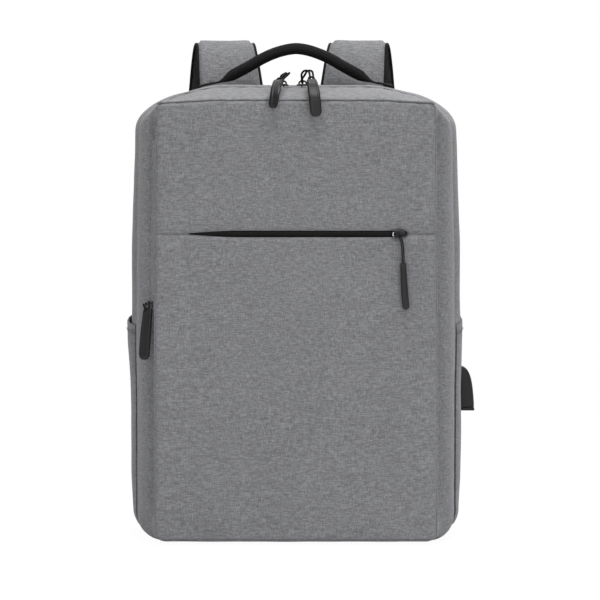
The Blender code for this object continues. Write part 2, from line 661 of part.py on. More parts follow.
def strap_webs(tag, side, x):
    """Tab from the pad round the upper bar, webbing round the middle bar, and its loose tail."""
    rear, front = WEB_REAR_Y, WEB_FRONT_Y
    strap_web("strap_tab_" + tag, [
        (x, rear, 150.3), (x, rear, 141), (x, rear, 138.5), (x, LOCK_Y + 1.6, 135.7),
        (x, LOCK_Y, 135.0), (x, LOCK_Y - 1.6, 135.7), (x, front, 138.5), (x, front, 141),
        (x, front, 150.3)])
    foot = Vector((side * WING_X, 70.6, 42.0))
    halfway = foot.lerp(Vector((x, front - 1.2, 108)), 0.5)
    strap_web("strap_webbing_" + tag, [
        tuple(foot), tuple(halfway), (x + side * 1.6, front - 1.4, 106), (x, front, 113),
        (x, front, 129.5), (x, LOCK_Y - 1.6, 132.3), (x, LOCK_Y, 133.0),
        (x, LOCK_Y + 1.6, 132.3), (x, rear, 129.5), (x, rear, 124)])
    strap_web("strap_tail_" + tag, [(x, TAIL_Y, z) for z in (TAIL_TOP, 100, 74, 66)],
              [WEB_T, WEB_T, WEB_T, 1.4])


def strap_wing(tag, side):
    """Sewn wing that anchors the webbing to the back's lower corner."""
    x = side * WING_X
    loft("strap_wing_" + tag,
         [[(x + x0, y0, z), (x + x1, y0, z), (x + x1, y1, z), (x + x0, y1, z)]
          for x0, x1, y0, y1, z in WING_RINGS], "shell_fabric")


def build_strap(tag, side):
    x = side * STRAP_X
    strap_pad(tag, side)
    ladder_lock(tag, x)
    strap_webs(tag, side, x)
    strap_wing(tag, side)
    origin_to(STRAP_PIVOT, "strap_pad_" + tag, "strap_tab_" + tag, "ladder_lock_" + tag,
              "strap_webbing_" + tag)
    origin_to((x, TAIL_Y, TAIL_TOP), "strap_tail_" + tag)


# ================================================================ inside the rear shell
# Columns: y, z; from the seam on the back wall over the sleeve's mouth
SLEEVE_TAB = [(60.4, 330), (55.5, 322), (48, 315), (40.5, 309.5), (35.2, 304.5), (34.0, 299),
              (34.0, 286), (34.0, 268)]


def build_rear_interior():
    box("laptop_sleeve", (-122, 36, 24), (122, 42, 300), "lining", 1.5, 2)
    band("sleeve_tab", [(0, y, z) for y, z in SLEEVE_TAB], 38, 1.2, "webbing", corner=0.3)
    origin_to((0, *SLEEVE_TAB[0]), "sleeve_tab")
    box("powerbank_pocket", (60, 30.0, 40), (116, 35.4, 116), "air_mesh", 1.0, 1)


# ================================================================ external USB port
# Columns: distance outside the wall, z; from the top down the outer face to the flat foot
HOOD_PROFILE = [(0.5, 150), (4.0, 149.4), (8.6, 146.6), (11.8, 142.0), (13.6, 135.0),
                (15.0, 124.0), (16.4, 112.2), (0.5, 112.2)]
HOOD_HALF = 8.5
COVER_INNER, COVER_FOOT_Z = 0.9, 109.0
LEAD_Z = 127.9
# Columns: x, y, z of the lead inside the bag, from the wall to the plug
LEAD_PATH = [(USB_X - 11, 50, 129.5), (USB_X - 15, 44, 138), (128, 34, 150), (119, 31.6, 158),
             (110, 31.2, 162), (103, 31.0, 161), (99.6, 31.0, 156), (99, 31.0, 148),
             (99, 31.0, 140.2)]


def port_corners(inner, outer, half_depth, z0, z1):
    """Opposite corners of a box at the port; inner and outer are distances outside the wall."""
    return (USB_X + inner, USB_Y - half_depth, z0), (USB_X + outer, USB_Y + half_depth, z1)


def build_usb_hood():
    """Hood with a rounded top and a flat foot, hollow below so that a plug can enter."""
    rings = [[(USB_X + x, y, z) for x, z in HOOD_PROFILE]
             for y in (USB_Y - HOOD_HALF, USB_Y + HOOD_HALF)]
    hood = loft("usb_hood", rings, "soft_rubber")
    round_edges(hood, 1.0, 2, angle=50)
    cut_box(hood, "cut_hood_socket", *port_corners(4.2, 11.4, 6.7, 111, 129.2))
    cut_box(hood, "cut_hood_lead", *port_corners(-2, 8, 2.4, 125.4, 130.4))


def build_usb_socket():
    socket = box("usb_socket", *port_corners(4.7, 10.9, 6.3, 112.4, 123.0), "steel")
    cut_box(socket, "cut_socket_mouth", *port_corners(5.3, 10.3, 5.7, 111, 121.8))
    box("usb_tongue", *port_corners(5.7, 7.3, 5.3, 113.4, 121.5), "plastic")


def build_usb_cover():
    box("usb_cover", *port_corners(COVER_INNER, 16.2, 8.3, COVER_FOOT_Z, 111.8),
        "soft_rubber", 0.7, 2)
    origin_to((USB_X + COVER_INNER, USB_Y, COVER_FOOT_Z), "usb_cover")


def build_usb_lead():
    """Lead from the port to the power bank pocket."""
    through_wall = [(USB_X + 6.0, USB_Y, LEAD_Z), (USB_X - 6, USB_Y, LEAD_Z)]
    tube("usb_cable", through_wall + LEAD_PATH, 1.5, "cable")
    box("usb_plug", (93, 28.6, 119), (105, 33.4, 139.6), "plastic", 0.8, 1)


# ================================================================ assembly
build_shells()
build_front_piping()
build_main_zip()
build_front_pocket()
build_front_interior()
build_side_zip()
build_back_panel()
build_handle()
for side_name, side_sign in SIDES:
    side_pocket(side_name, side_sign)
    build_strap(side_name, side_sign)
build_rear_interior()
build_usb_hood()
build_usb_socket()
build_usb_cover()
build_usb_lead()

# pieces that swing open with the front
origin_to(FRONT_HINGE, "front_shell", "front_zip_tape", "front_piping", "pocket_tape_upper",
          "pocket_tape_lower", "pocket_lining", "organiser_panel", "organiser_pocket",
          "base_board", "side_tape_front", "side_tape_rear")
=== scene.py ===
"""Laptop backpack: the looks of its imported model, standing on its base.

Metres in the scene, +Z up, front to -Y, left to -X. Shapes are written in millimetres and scaled
by MM when a mesh is made. The zip round the bag splits it into a front that folds down and a rear.
"""
import json
import math
import random
import bpy
import bmesh
import numpy as np
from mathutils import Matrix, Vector, noise


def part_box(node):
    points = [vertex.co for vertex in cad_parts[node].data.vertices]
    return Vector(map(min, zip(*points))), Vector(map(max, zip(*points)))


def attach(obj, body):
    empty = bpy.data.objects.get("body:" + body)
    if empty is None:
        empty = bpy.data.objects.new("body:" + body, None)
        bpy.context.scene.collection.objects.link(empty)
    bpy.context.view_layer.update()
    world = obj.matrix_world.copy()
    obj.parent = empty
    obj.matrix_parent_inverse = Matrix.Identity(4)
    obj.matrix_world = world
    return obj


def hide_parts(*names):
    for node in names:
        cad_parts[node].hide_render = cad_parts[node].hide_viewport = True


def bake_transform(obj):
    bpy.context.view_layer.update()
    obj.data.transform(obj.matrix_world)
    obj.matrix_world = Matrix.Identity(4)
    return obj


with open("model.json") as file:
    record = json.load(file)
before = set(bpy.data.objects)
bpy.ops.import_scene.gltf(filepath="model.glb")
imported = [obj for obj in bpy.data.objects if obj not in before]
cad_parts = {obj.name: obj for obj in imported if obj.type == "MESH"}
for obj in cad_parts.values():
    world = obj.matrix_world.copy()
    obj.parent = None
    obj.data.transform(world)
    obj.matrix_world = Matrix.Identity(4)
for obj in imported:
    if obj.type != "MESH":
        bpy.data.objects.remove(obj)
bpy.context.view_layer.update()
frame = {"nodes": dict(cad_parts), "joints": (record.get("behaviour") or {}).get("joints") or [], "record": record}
MM = 0.001
random.seed(7)
COL = bpy.context.scene.collection
SIDES = (("left", -1), ("right", 1))


# ------------------------------------------------------------------ numbers and the model's places
def box_of(node):
    """Low and high corners of a CAD node in millimetres."""
    low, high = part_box(node)
    return np.array(low) * 1000.0, np.array(high) * 1000.0


joints = frame["joints"]
if isinstance(joints, list):
    joints = {joint["name"]: joint for joint in joints}
PIVOT = {name: np.array(joint["pos_m"]) * 1000 for name, joint in joints.items()
         if joint.get("pos_m")}


def smooth01(t):
    t = np.clip(t, 0.0, 1.0)
    return t * t * (3 - 2 * t)


def curve(x, stations):
    """Monotone smooth curve through (x, value) pairs."""
    xs = np.array([s[0] for s in stations], float)
    ys = np.array([s[1] for s in stations], float)
    gap = np.diff(xs)
    rise = np.diff(ys) / gap
    slope = np.zeros(len(xs))
    slope[0], slope[-1] = rise[0], rise[-1]
    for i in range(1, len(xs) - 1):
        if rise[i - 1] * rise[i] > 0:
            before, after = 2 * gap[i] + gap[i - 1], gap[i] + 2 * gap[i - 1]
            slope[i] = (before + after) / (before / rise[i - 1] + after / rise[i])
    x = np.clip(np.asarray(x, float), xs[0], xs[-1])
    i = np.clip(np.searchsorted(xs, x, side="right") - 1, 0, len(gap) - 1)
    t = (x - xs[i]) / gap[i]
    return ((2 * t**3 - 3 * t**2 + 1) * ys[i] + (t**3 - 2 * t**2 + t) * gap[i] * slope[i]
            + (-2 * t**3 + 3 * t**2) * ys[i + 1] + (t**3 - t**2) * gap[i] * slope[i + 1])


def ripple(x, y, z, scale, seed):
    """Smooth noise, about -1..1, at a wavelength of scale mm."""
    return noise.noise(Vector((x / scale + seed, y / scale - seed, z / scale + 2 * seed)))


def mirrored(half):
    """(x, value) pairs that end at x = 0, carried on to the other side."""
    return half + [(-x, value) for x, value in half[-2::-1]]


def unit(vectors):
    return vectors / np.linalg.norm(vectors, axis=1)[:, None]


def tangents(points):
    return unit(np.gradient(points, axis=0))


def square_to(ahead, vectors):
    """Unit part of the vectors that is square to the tangents."""
    return unit(vectors - ahead * np.sum(vectors * ahead, axis=1)[:, None])


def arc_lengths(points):
    return np.concatenate([[0], np.cumsum(np.linalg.norm(np.diff(points, axis=0), axis=1))])


# ------------------------------------------------------------------ materials
def rgba(colour):
    return (*colour, 1) if isinstance(colour, tuple) else colour


def grey(level, blue=1.0):
    return (level, level, level * blue)


class Mat:
    """Small helper that wires a procedural material."""

    def __init__(self, name, rough=0.8, metal=0.0, spec=0.3):
        self.material = bpy.data.materials.new(name)
        self.material.use_nodes = True
        self.tree = self.material.node_tree
        self.shader = self.tree.nodes["Principled BSDF"]
        self.shader.inputs["Roughness"].default_value = rough
        self.shader.inputs["Metallic"].default_value = metal
        self.shader.inputs["Specular IOR Level"].default_value = spec
        self.coord = self.tree.nodes.new("ShaderNodeTexCoord")

    def node(self, kind, inputs=None, **props):
        node = self.tree.nodes.new("ShaderNode" + kind)
        for key, value in props.items():
            setattr(node, key, value)
        for key, value in (inputs or {}).items():
            if isinstance(value, bpy.types.NodeSocket):
                self.tree.links.new(value, node.inputs[key])
            else:
                node.inputs[key].default_value = value
        return node

    def mapped(self, scale):
        if not isinstance(scale, tuple):
            scale = (scale,) * 3
        source = self.coord.outputs["Object"]
        return self.node("Mapping", {"Vector": source, "Scale": scale}).outputs[0]

    def noise(self, scale, detail=2.0, roughness=0.5):
        return self.node("TexNoise", {"Vector": self.mapped(scale), "Scale": 1.0,
                                      "Detail": detail, "Roughness": roughness}).outputs["Fac"]

    def axes(self, source="Object"):
        return self.node("SeparateXYZ", {"Vector": self.coord.outputs[source]}).outputs

    def math(self, operation, a, b=0.0):
        return self.node("Math", {0: a, 1: b}, operation=operation).outputs[0]

    def add(self, a, b):
        return self.math("ADD", a, b)

    def times(self, a, b):
        return self.math("MULTIPLY", a, b)

    def sine(self, a, frequency):
        return self.math("SINE", self.times(a, frequency))

    def ramp(self, fac, stops):
        node = self.node("ValToRGB", {"Fac": fac})
        elements = node.color_ramp.elements
        while len(elements) < len(stops):
            elements.new(0.5)
        for element, (position, colour) in zip(elements, stops):
            element.position = position
            element.color = rgba(colour)
        return node.outputs["Color"]

    def mix(self, fac, a, b, mode="MIX"):
        node = self.node("Mix", {0: fac, 6: rgba(a), 7: rgba(b)}, data_type="RGBA", blend_type=mode)
        return node.outputs[2]

    def color(self, socket):
        self.tree.links.new(socket, self.shader.inputs["Base Color"])

    def rough(self, socket):
        self.tree.links.new(socket, self.shader.inputs["Roughness"])

    def bump(self, height, distance, strength):
        node = self.node("Bump", {"Height": height, "Distance": distance, "Strength": strength})
        self.tree.links.new(node.outputs[0], self.shader.inputs["Normal"])


def heather(name, base, tint=(1.0, 1.006, 1.052), thread_pitch=0.0011):
    """Grey melange: light and dark yarns across and up the cloth, with a fine plain weave."""
    m = Mat(name, rough=0.93, spec=0.12)
    m.shader.inputs["Sheen Weight"].default_value = 0.12
    m.shader.inputs["Sheen Roughness"].default_value = 0.5
    weft = m.noise(scale=(210, 210, 1050), detail=2.5, roughness=0.62)
    warp = m.noise(scale=(1050, 1050, 260), detail=2.5, roughness=0.62)
    fine = m.noise(scale=1500, roughness=0.7)
    broad = m.noise(scale=14)
    yarn = m.add(m.times(weft, 0.56), m.times(warp, 0.44))
    speck = m.add(m.times(yarn, 0.72), m.times(fine, 0.28))
    # dark, middle and light yarns
    colour = m.ramp(speck, [(at, tuple(base * level * k for k in tint))
                            for at, level in ((0.34, 0.52), (0.50, 1.0), (0.66, 1.62))])
    # broad patches of slightly lighter and darker cloth
    tone = m.add(m.times(broad, 0.16), 0.92)
    tone = m.node("CombineColor", {"Red": tone, "Green": tone, "Blue": tone}).outputs[0]
    m.color(m.mix(1.0, colour, tone, "MULTIPLY"))
    x, y, z = m.axes()
    frequency = 2 * math.pi / thread_pitch
    weave = m.times(m.sine(m.add(x, y), frequency), m.sine(z, frequency))
    height = m.add(m.times(weave, 0.3), m.add(m.times(yarn, 1.6), fine))
    m.bump(height, distance=0.00022, strength=0.75)
    m.rough(m.add(m.times(fine, 0.12), 0.84))
    return m.material


def ribbed(name, base, pitch=1.3, relief=0.0002, source="UV"):
    """Woven webbing: ribs along v and a slightly staggered cross thread along u."""
    m = Mat(name, rough=0.78, spec=0.12)
    u, v, _ = m.axes(source)
    rib = m.sine(v, 2 * math.pi / pitch)
    cross = m.sine(m.add(u, m.times(rib, 0.35)), 2 * math.pi / (pitch * 0.8))
    fuzz = m.noise(scale=900, roughness=0.6)
    height = m.add(m.times(rib, 0.7), m.times(cross, 0.35))
    # colour follows the rib height as painted shade, darker in the grooves and lighter on the rib tops, mixed with
    # the yarn's own fuzz tone
    rib_shade_and_fuzz = m.add(m.times(height, 0.28), m.times(fuzz, 0.9))
    m.color(m.ramp(rib_shade_and_fuzz, [(0.1, grey(base * 0.55)), (0.5, grey(base)),
                           (0.95, (base * 2.1, base * 2.1, base * 2.2))]))
    m.bump(m.add(height, m.times(fuzz, 0.4)), relief, strength=0.8)
    return m.material


def air_mesh(name, base, cell=2.6):
    """Spacer mesh: rows of small open cells, cell mm wide, their hollows painted near-black as shade."""
    m = Mat(name, rough=0.9, spec=0.15)
    cells = m.node("TexVoronoi", {"Vector": m.mapped(1000 / cell), "Scale": 1.0,
                                  "Randomness": 0.28}, feature="F1")
    rim_vs_hollow_shade = m.ramp(cells.outputs["Distance"], [(0.22, (0.0, 0.0, 0.0)), (0.42, (1, 1, 1))])
    fuzz = m.noise(scale=1300, roughness=0.6)
    thread = m.mix(fuzz, grey(base * 0.9), (base * 2.4, base * 2.4, base * 2.5))
    # near-black in the cells' hollows is painted shade; the rims take the thread colour
    m.color(m.mix(rim_vs_hollow_shade, grey(base * 0.22), thread))
    m.bump(m.add(rim_vs_hollow_shade, m.times(fuzz, 0.3)), distance=0.0005, strength=0.9)
    return m.material


def moulded(name, base, rough=0.5, spec=0.4, grain=0.00006):
    """Moulded rubber or plastic with a fine grain and slightly polished patches."""
    m = Mat(name, rough=rough, spec=spec)
    fine = m.noise(scale=1400, detail=3.0, roughness=0.6)
    broad = m.noise(scale=90, detail=3.0, roughness=0.55)
    m.color(m.mix(broad, grey(base * 0.8), (base * 1.25, base * 1.25, base * 1.3)))
    m.rough(m.add(m.times(broad, 0.22), rough - 0.11))
    m.bump(fine, grain, strength=0.8)
    return m.material


def metal(name, base, rough, brushed=False):
    """Metal with broad patches of shade and fine marks, drawn out crosswise when brushed."""
    m = Mat(name, rough=rough, metal=1.0, spec=0.5)
    marks = m.noise(scale=(300, 300, 4200) if brushed else 900, detail=3.0, roughness=0.6)
    broad = m.noise(scale=120, detail=3.0, roughness=0.6)
    m.color(m.mix(broad, tuple(c * 0.82 for c in base), tuple(min(1, c * 1.15) for c in base)))
    m.rough(m.add(m.times(marks, 0.25), rough - 0.1))
    m.bump(marks, distance=0.00003, strength=0.6)
    return m.material


def lined(name, base=(0.045, 0.046, 0.050), check=0.0052):
    """Lining: thin cloth with a ripstop check."""
    m = Mat(name, rough=0.72, spec=0.25)
    x, y, z = m.axes()
    # a high power leaves only thin lines of each wave
    lines = [m.math("POWER", m.math("ABSOLUTE", m.sine(along, math.pi / check)), 14.0)
             for along in (m.add(x, y), z)]
    grid = m.math("MAXIMUM", *lines)
    fuzz = m.noise(scale=800, roughness=0.6)
    ground = m.mix(fuzz, tuple(c * 0.75 for c in base), tuple(c * 1.3 for c in base))
    m.color(m.mix(m.times(grid, 0.35), ground, tuple(c * 1.9 for c in base)))
    m.bump(m.add(grid, m.times(fuzz, 0.6)), distance=0.00014, strength=0.8)
    return m.material


GREY = heather("heather_grey", base=0.123)
LINING = lined("lining_cloth")
MESH = air_mesh("spacer_mesh", base=0.013)
POCKET_MESH = air_mesh("pocket_mesh", base=0.03, cell=1.9)
WEB = ribbed("black_webbing", base=0.0045)
TAPE = ribbed("black_tape", base=0.0035, pitch=0.7, relief=0.00012)
COIL = moulded("nylon_coil", base=0.003, rough=0.42, spec=0.2, grain=0.00002)
CORD = ribbed("braided_cord", base=0.007, pitch=0.9, relief=0.0001, source="Object")
RUBBER = moulded("grip_rubber", base=0.006, spec=0.24, grain=0.00009)
HOOD = moulded("port_rubber", base=0.0085, rough=0.6, spec=0.22)
PLASTIC = moulded("acetal_black", base=0.006, spec=0.14, grain=0.00003)
BLACK_METAL = metal("black_lacquered_zinc", base=(0.022, 0.022, 0.024), rough=0.36)
BARE_METAL = metal("bare_zinc", base=(0.60, 0.60, 0.62), rough=0.3)
STEEL = metal("plated_steel", base=(0.62, 0.62, 0.63), rough=0.28, brushed=True)
THREAD = ribbed("grey_thread", base=0.16, pitch=0.5, relief=0.00005, source="Object")
DARK_THREAD = ribbed("dark_thread", base=0.03, pitch=0.5, relief=0.00005, source="Object")
BOARD = moulded("base_stiffener", base=0.11, rough=0.6)
CABLE = moulded("cable_jacket", base=0.013, rough=0.42, spec=0.45)


# ------------------------------------------------------------------ mesh helpers
def new_object(name, data):
    ob = bpy.data.objects.new(name, data)
    COL.objects.link(ob)
    return ob


def build(name, verts, faces, mats, uv=None, angle=35):
    """Smooth object from millimetre vertices, sharp above angle. uv is one pair per vertex."""
    mesh = bpy.data.meshes.new(name)
    mesh.from_pydata([tuple(float(c) * MM for c in v) for v in verts], [], faces)
    for mat in (mats if isinstance(mats, list) else [mats]):
        mesh.materials.append(mat)
    if uv is not None:
        layer = mesh.uv_layers.new(name="UVMap")
        for loop in mesh.loops:
            layer.data[loop.index].uv = uv[loop.vertex_index]
    mesh.validate()
    mesh.shade_smooth()
    mesh.set_sharp_from_angle(angle=math.radians(angle))
    return new_object(name, mesh)


def sheet(name, rows, mats, close=False, angle=35, skip=None):
    """Quad sheet over rows[i][j] = (x, y, z), with UVs in mm; close joins each row's ends."""
    points = np.asarray(rows, float)
    count, width = points.shape[:2]
    faces = []
    for i in range(count - 1):
        for j in range(width if close else width - 1):
            if skip and skip(i, j):
                continue
            here, there, k = i * width, (i + 1) * width, (j + 1) % width
            faces.append((here + j, there + j, there + k, here + k))
    along = arc_lengths(points[:, width // 2])
    across = arc_lengths(points[count // 2])
    uv = [(u, v) for u in along for v in across]
    return build(name, points.reshape(-1, 3), faces, mats, uv, angle)


def tube_faces(count, around, start=0, caps=True):
    """Faces over count rings of around vertices, with both ends closed if wanted."""
    faces = []
    for i in range(start, start + (count - 1) * around, around):
        for j in range(around):
            k = (j + 1) % around
            faces.append((i + j, i + k, i + around + k, i + around + j))
    if caps:
        last = start + (count - 1) * around
        faces.append(tuple(start + j for j in reversed(range(around))))
        faces.append(tuple(last + j for j in range(around)))
    return faces


def solids(name, bodies, mat, uv=None, angle=60):
    """Closed bodies in one mesh, each a list of rings with the same number of points."""
    count, around = np.shape(bodies)[1:3]
    faces = [face for i in range(len(bodies))
             for face in tube_faces(count, around, i * count * around)]
    return build(name, np.reshape(bodies, (-1, 3)), faces, mat, uv, angle)


def apply_modifiers(ob):
    """Bakes the modifiers into the mesh."""
    deps = bpy.context.evaluated_depsgraph_get()
    mesh = bpy.data.meshes.new_from_object(ob.evaluated_get(deps), preserve_all_data_layers=True,
                                           depsgraph=deps)
    old = ob.data
    ob.modifiers.clear()
    ob.data = mesh
    bpy.data.meshes.remove(old)


def modify(ob, kind, **props):
    modifier = ob.modifiers.new(kind.lower(), kind)
    for key, value in props.items():
        setattr(modifier, key, value)
    apply_modifiers(ob)


def bevel(ob, width, angle=30):
    modify(ob, "BEVEL", width=width * MM, segments=2, limit_method="ANGLE",
           angle_limit=math.radians(angle))


def face_away(ob, point):
    """Turns the faces so that they look away from a point in mm."""
    centre = Vector(point) * MM
    if sum(p.normal.dot((p.center - centre).normalized()) * p.area for p in ob.data.polygons) < 0:
        ob.data.flip_normals()


def face_along(ob, direction, index):
    """Turns the faces so that the one at index looks along a direction."""
    if ob.data.polygons[index].normal.dot(Vector(direction)) < 0:
        ob.data.flip_normals()


def thicken(ob, thickness, inside=None):
    """Thickens a sheet inward by some mm, with the inside in another material if wanted."""
    if inside:
        ob.data.materials.append(inside)
    offset = len(ob.data.materials) - 1 if inside else 0
    modify(ob, "SOLIDIFY", thickness=thickness * MM, offset=-1.0, use_even_offset=False,
           material_offset=offset, material_offset_rim=0)


def recalc_normals(ob, weld=0.0):
    """Turns the faces outward, after merging vertices closer than weld metres."""
    bm = bmesh.new()
    bm.from_mesh(ob.data)
    if weld:
        bmesh.ops.remove_doubles(bm, verts=bm.verts, dist=weld)
    bmesh.ops.recalc_face_normals(bm, faces=bm.faces)
    bm.to_mesh(ob.data)
    bm.free()


def joined(name, parts):
    """Several meshes of one material made into one object."""
    bm = bmesh.new()
    for part in parts:
        bm.from_mesh(part.data)
    mesh = bpy.data.meshes.new(name)
    bm.to_mesh(mesh)
    bm.free()
    mesh.materials.append(parts[0].data.materials[0])
    for part in parts:
        bpy.data.objects.remove(part, do_unlink=True)
    return new_object(name, mesh)


def block(name, loops, mat, top_first=False):
    """Flat-shaded closed block through loops of (x, y, z), capped at the first and last."""
    bm = bmesh.new()
    rings = [[bm.verts.new(Vector(point) * MM) for point in loop] for loop in loops]
    around = len(rings[0])
    for low, high in zip(rings, rings[1:]):
        for i in range(around):
            k = (i + 1) % around
            bm.faces.new((low[i], low[k], high[k], high[i]))
    caps = [list(reversed(rings[0])), rings[-1]]
    for cap in (reversed(caps) if top_first else caps):
        bm.faces.new(cap)
    bmesh.ops.recalc_face_normals(bm, faces=bm.faces)
    mesh = bpy.data.meshes.new(name)
    bm.to_mesh(mesh)
    bm.free()
    mesh.materials.append(mat)
    return new_object(name, mesh)


def resample(path, step):
    """Even points along a polyline smoothed with Catmull-Rom; any number of columns."""
    path = np.asarray(path, float)
    knots = np.vstack([2 * path[0] - path[1], path, 2 * path[-1] - path[-2]])
    fine = []
    for i in range(1, len(knots) - 2):
        count = max(2, int(math.ceil(np.linalg.norm(knots[i + 1] - knots[i]) / step * 2)))
        a, b, c, d = knots[i - 1:i + 3]
        for k in range(count):
            t = k / count
            fine.append(0.5 * ((2 * b) + (c - a) * t + (2 * a - 5 * b + 4 * c - d) * t * t
                               + (3 * b - a - 3 * c + d) * t ** 3))
    fine = np.array(fine + [path[-1]])
    run = arc_lengths(fine)
    count = max(2, int(round(run[-1] / step)) + 1)
    at = np.linspace(0, run[-1], count)
    return np.stack([np.interp(at, run, column) for column in fine.T], axis=1)


def frames(points, side):
    """Tangent, width and thickness directions at each point of a path."""
    ahead = tangents(points)
    across = square_to(ahead, np.asarray(side, float))
    return ahead, across, np.cross(ahead, across)


def ribbon(name, path, width, thickness, mat, side=(1, 0, 0), step=3.0, across=8, edge=0.45,
           angle=50):
    """Flat band with rolled edges; width and thickness may be functions of the length's share."""
    points = resample(path, step)
    _, sideways, out = frames(points, side)
    run = arc_lengths(points)
    span = np.linspace(-1, 1, across + 1)
    rings, uv = [], []
    for i, point in enumerate(points):
        share = i / (len(points) - 1)
        half = (width(share) if callable(width) else width) / 2
        lift = (thickness(share) if callable(thickness) else thickness) / 2
        roll = min(lift, half * 0.5) * edge * 2
        corner = [(half - roll * 0.3, lift * 0.62), (half, 0.0), (half - roll * 0.3, -lift * 0.62)]
        section = [(a * (half - roll), lift) for a in span] + corner
        section += [(a * (half - roll), -lift) for a in reversed(span)]
        section += [(-a, -b) for a, b in corner]
        rings.append([point + sideways[i] * a + out[i] * b for a, b in section])
        uv += [(run[i], a) for a, _ in section]
    return solids(name, [rings], mat, uv, angle)


def cord(name, path, radius, mat, step=1.2, sides=10):
    """Round cord swept along a path, with a low cone on each end."""
    points = resample(path, step)
    count = len(points)
    ahead = tangents(points)
    side = np.cross(ahead[0], (0.13, 0.37, 0.92))
    side /= np.linalg.norm(side)
    turns = np.linspace(0, 2 * math.pi, sides, endpoint=False)
    verts = []
    for point, tangent in zip(points, ahead):
        side = side - tangent * np.dot(side, tangent)
        side /= np.linalg.norm(side)
        other = np.cross(tangent, side)
        verts += [point + radius * (math.cos(t) * side + math.sin(t) * other) for t in turns]
    verts += [points[0] - ahead[0] * radius * 0.5, points[-1] + ahead[-1] * radius * 0.5]
    faces = tube_faces(count, sides, caps=False)
    start_tip, last, end_tip = count * sides, (count - 1) * sides, count * sides + 1
    for j in range(sides):
        k = (j + 1) % sides
        faces += [(start_tip, k, j), (end_tip, last + j, last + k)]
    return build(name, verts, faces, mat, angle=60)


# a stitch's rings: place along it, height in radii, share of the radius
STITCH_RINGS = ((-0.5, -0.9, 0.55), (-0.3, 0.35, 1.0), (0.0, 0.6, 1.0), (0.3, 0.35, 1.0),
                (0.5, -0.9, 0.55))


def stitches(name, path, normal, mat, pitch=None, length=2.2, radius=0.28, lift=0.15):
    """Row of small rounded threads on a surface facing normal (a direction, or a function of the
    points). Without a pitch there is one stitch at each point of the path."""
    points = resample(path, pitch) if pitch else np.asarray(path, float)
    ahead = tangents(points)
    out = square_to(ahead, normal(points) if callable(normal) else np.asarray(normal, float))
    across = np.cross(ahead, out)
    turns = [math.radians(a) for a in range(0, 360, 60)]
    threads = []
    for point, tangent, up, side in zip(points, ahead, out, across):
        rings = []
        for share, height, size in STITCH_RINGS:
            centre = point + tangent * length * share + up * (lift + radius * height)
            thick = radius * size
            rings.append([centre + side * thick * math.cos(t) + up * thick * 0.8 * math.sin(t)
                          for t in turns])
        threads.append(rings)
    return solids(name, threads, mat)


def place(ob, body, slot, *nodes):
    """Rides on a body and stands for CAD nodes, which it hides; slot is not used."""
    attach(ob, body)
    if nodes:
        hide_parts(*nodes)


# ------------------------------------------------------------------ the bag's outline
FRONT_Y = box_of("front_shell")[0][1]
ZIP_Y = (box_of("front_zip_tape")[1][1] + box_of("rear_zip_tape")[0][1]) / 2

# how the outline runs from front to back: (y, value)
HALF_WIDTH = [
    (-60, 123.2), (-56.5, 125.8), (-54.0, 126.1), (-50.5, 126.8), (-46.5, 128.4), (-43.0, 130.4),
    (-39.5, 132.8), (-35.5, 135.6), (-30, 138.6), (-22, 141.2), (-14, 142.6), (-9, 142.5),
    (1.5, 142.7), (6, 144.6), (12, 146.2), (25, 147.5), (50, 147.1), (57, 145.7), (61.5, 143.0),
    (65, 137.5)]
TOP_HEIGHT = [
    (-60, 393.0), (-55, 396.6), (-45, 399.4), (-34, 401.8), (-20, 404.2), (-10, 405.5), (2, 406.0),
    (25, 407.0), (50, 406.2), (57, 404.8), (61.5, 402.2), (65, 397.0)]
BASE_HEIGHT = [
    (-60, 7.0), (-56, 3.8), (-50, 2.2), (-34, 1.0), (-10, 0.2), (2, 0.2), (50, 0.2), (57, 1.2),
    (61.5, 3.4), (65, 9.0)]
TOP_RADIUS = [
    (-60, 6), (-55, 7.5), (-50, 10), (-44, 15.5), (-34, 27.5), (-22, 35.5), (-10, 39), (50, 41),
    (61, 38), (65, 33)]
BASE_RADIUS = [(-60, 7), (-55, 9), (-50, 12), (-34, 18), (-10, 21), (50, 21), (65, 17)]
TOP_DROP = [(-60, 2.5), (-55, 3.5), (-34, 7.5), (-10, 10), (65, 10)]
# steps along half the base, each corner, a side and half the top
BASE_STEPS, CORNER_STEPS, SIDE_STEPS, TOP_STEPS = 30, 14, 64, 36


def taper(z):
    """The bag narrows by a fiftieth between 150 and 400 mm up."""
    return 1 - 0.02 * np.clip((z - 150.0) / 250.0, 0, 1)


def belly(y, z):
    """The full bag's sides swell a little between the pockets and the shoulders."""
    height = smooth01((z - 128) / 62) * smooth01((388 - z) / 130)
    return 2.5 * height * (0.35 * smooth01((y + 44) / 30) + 0.65 * smooth01((y - 1.0) / 12))


def shoulder(x):
    """0 over the top's middle, rising to 1 where it has dropped at the sides."""
    return smooth01((np.abs(x) - 66) / 58)


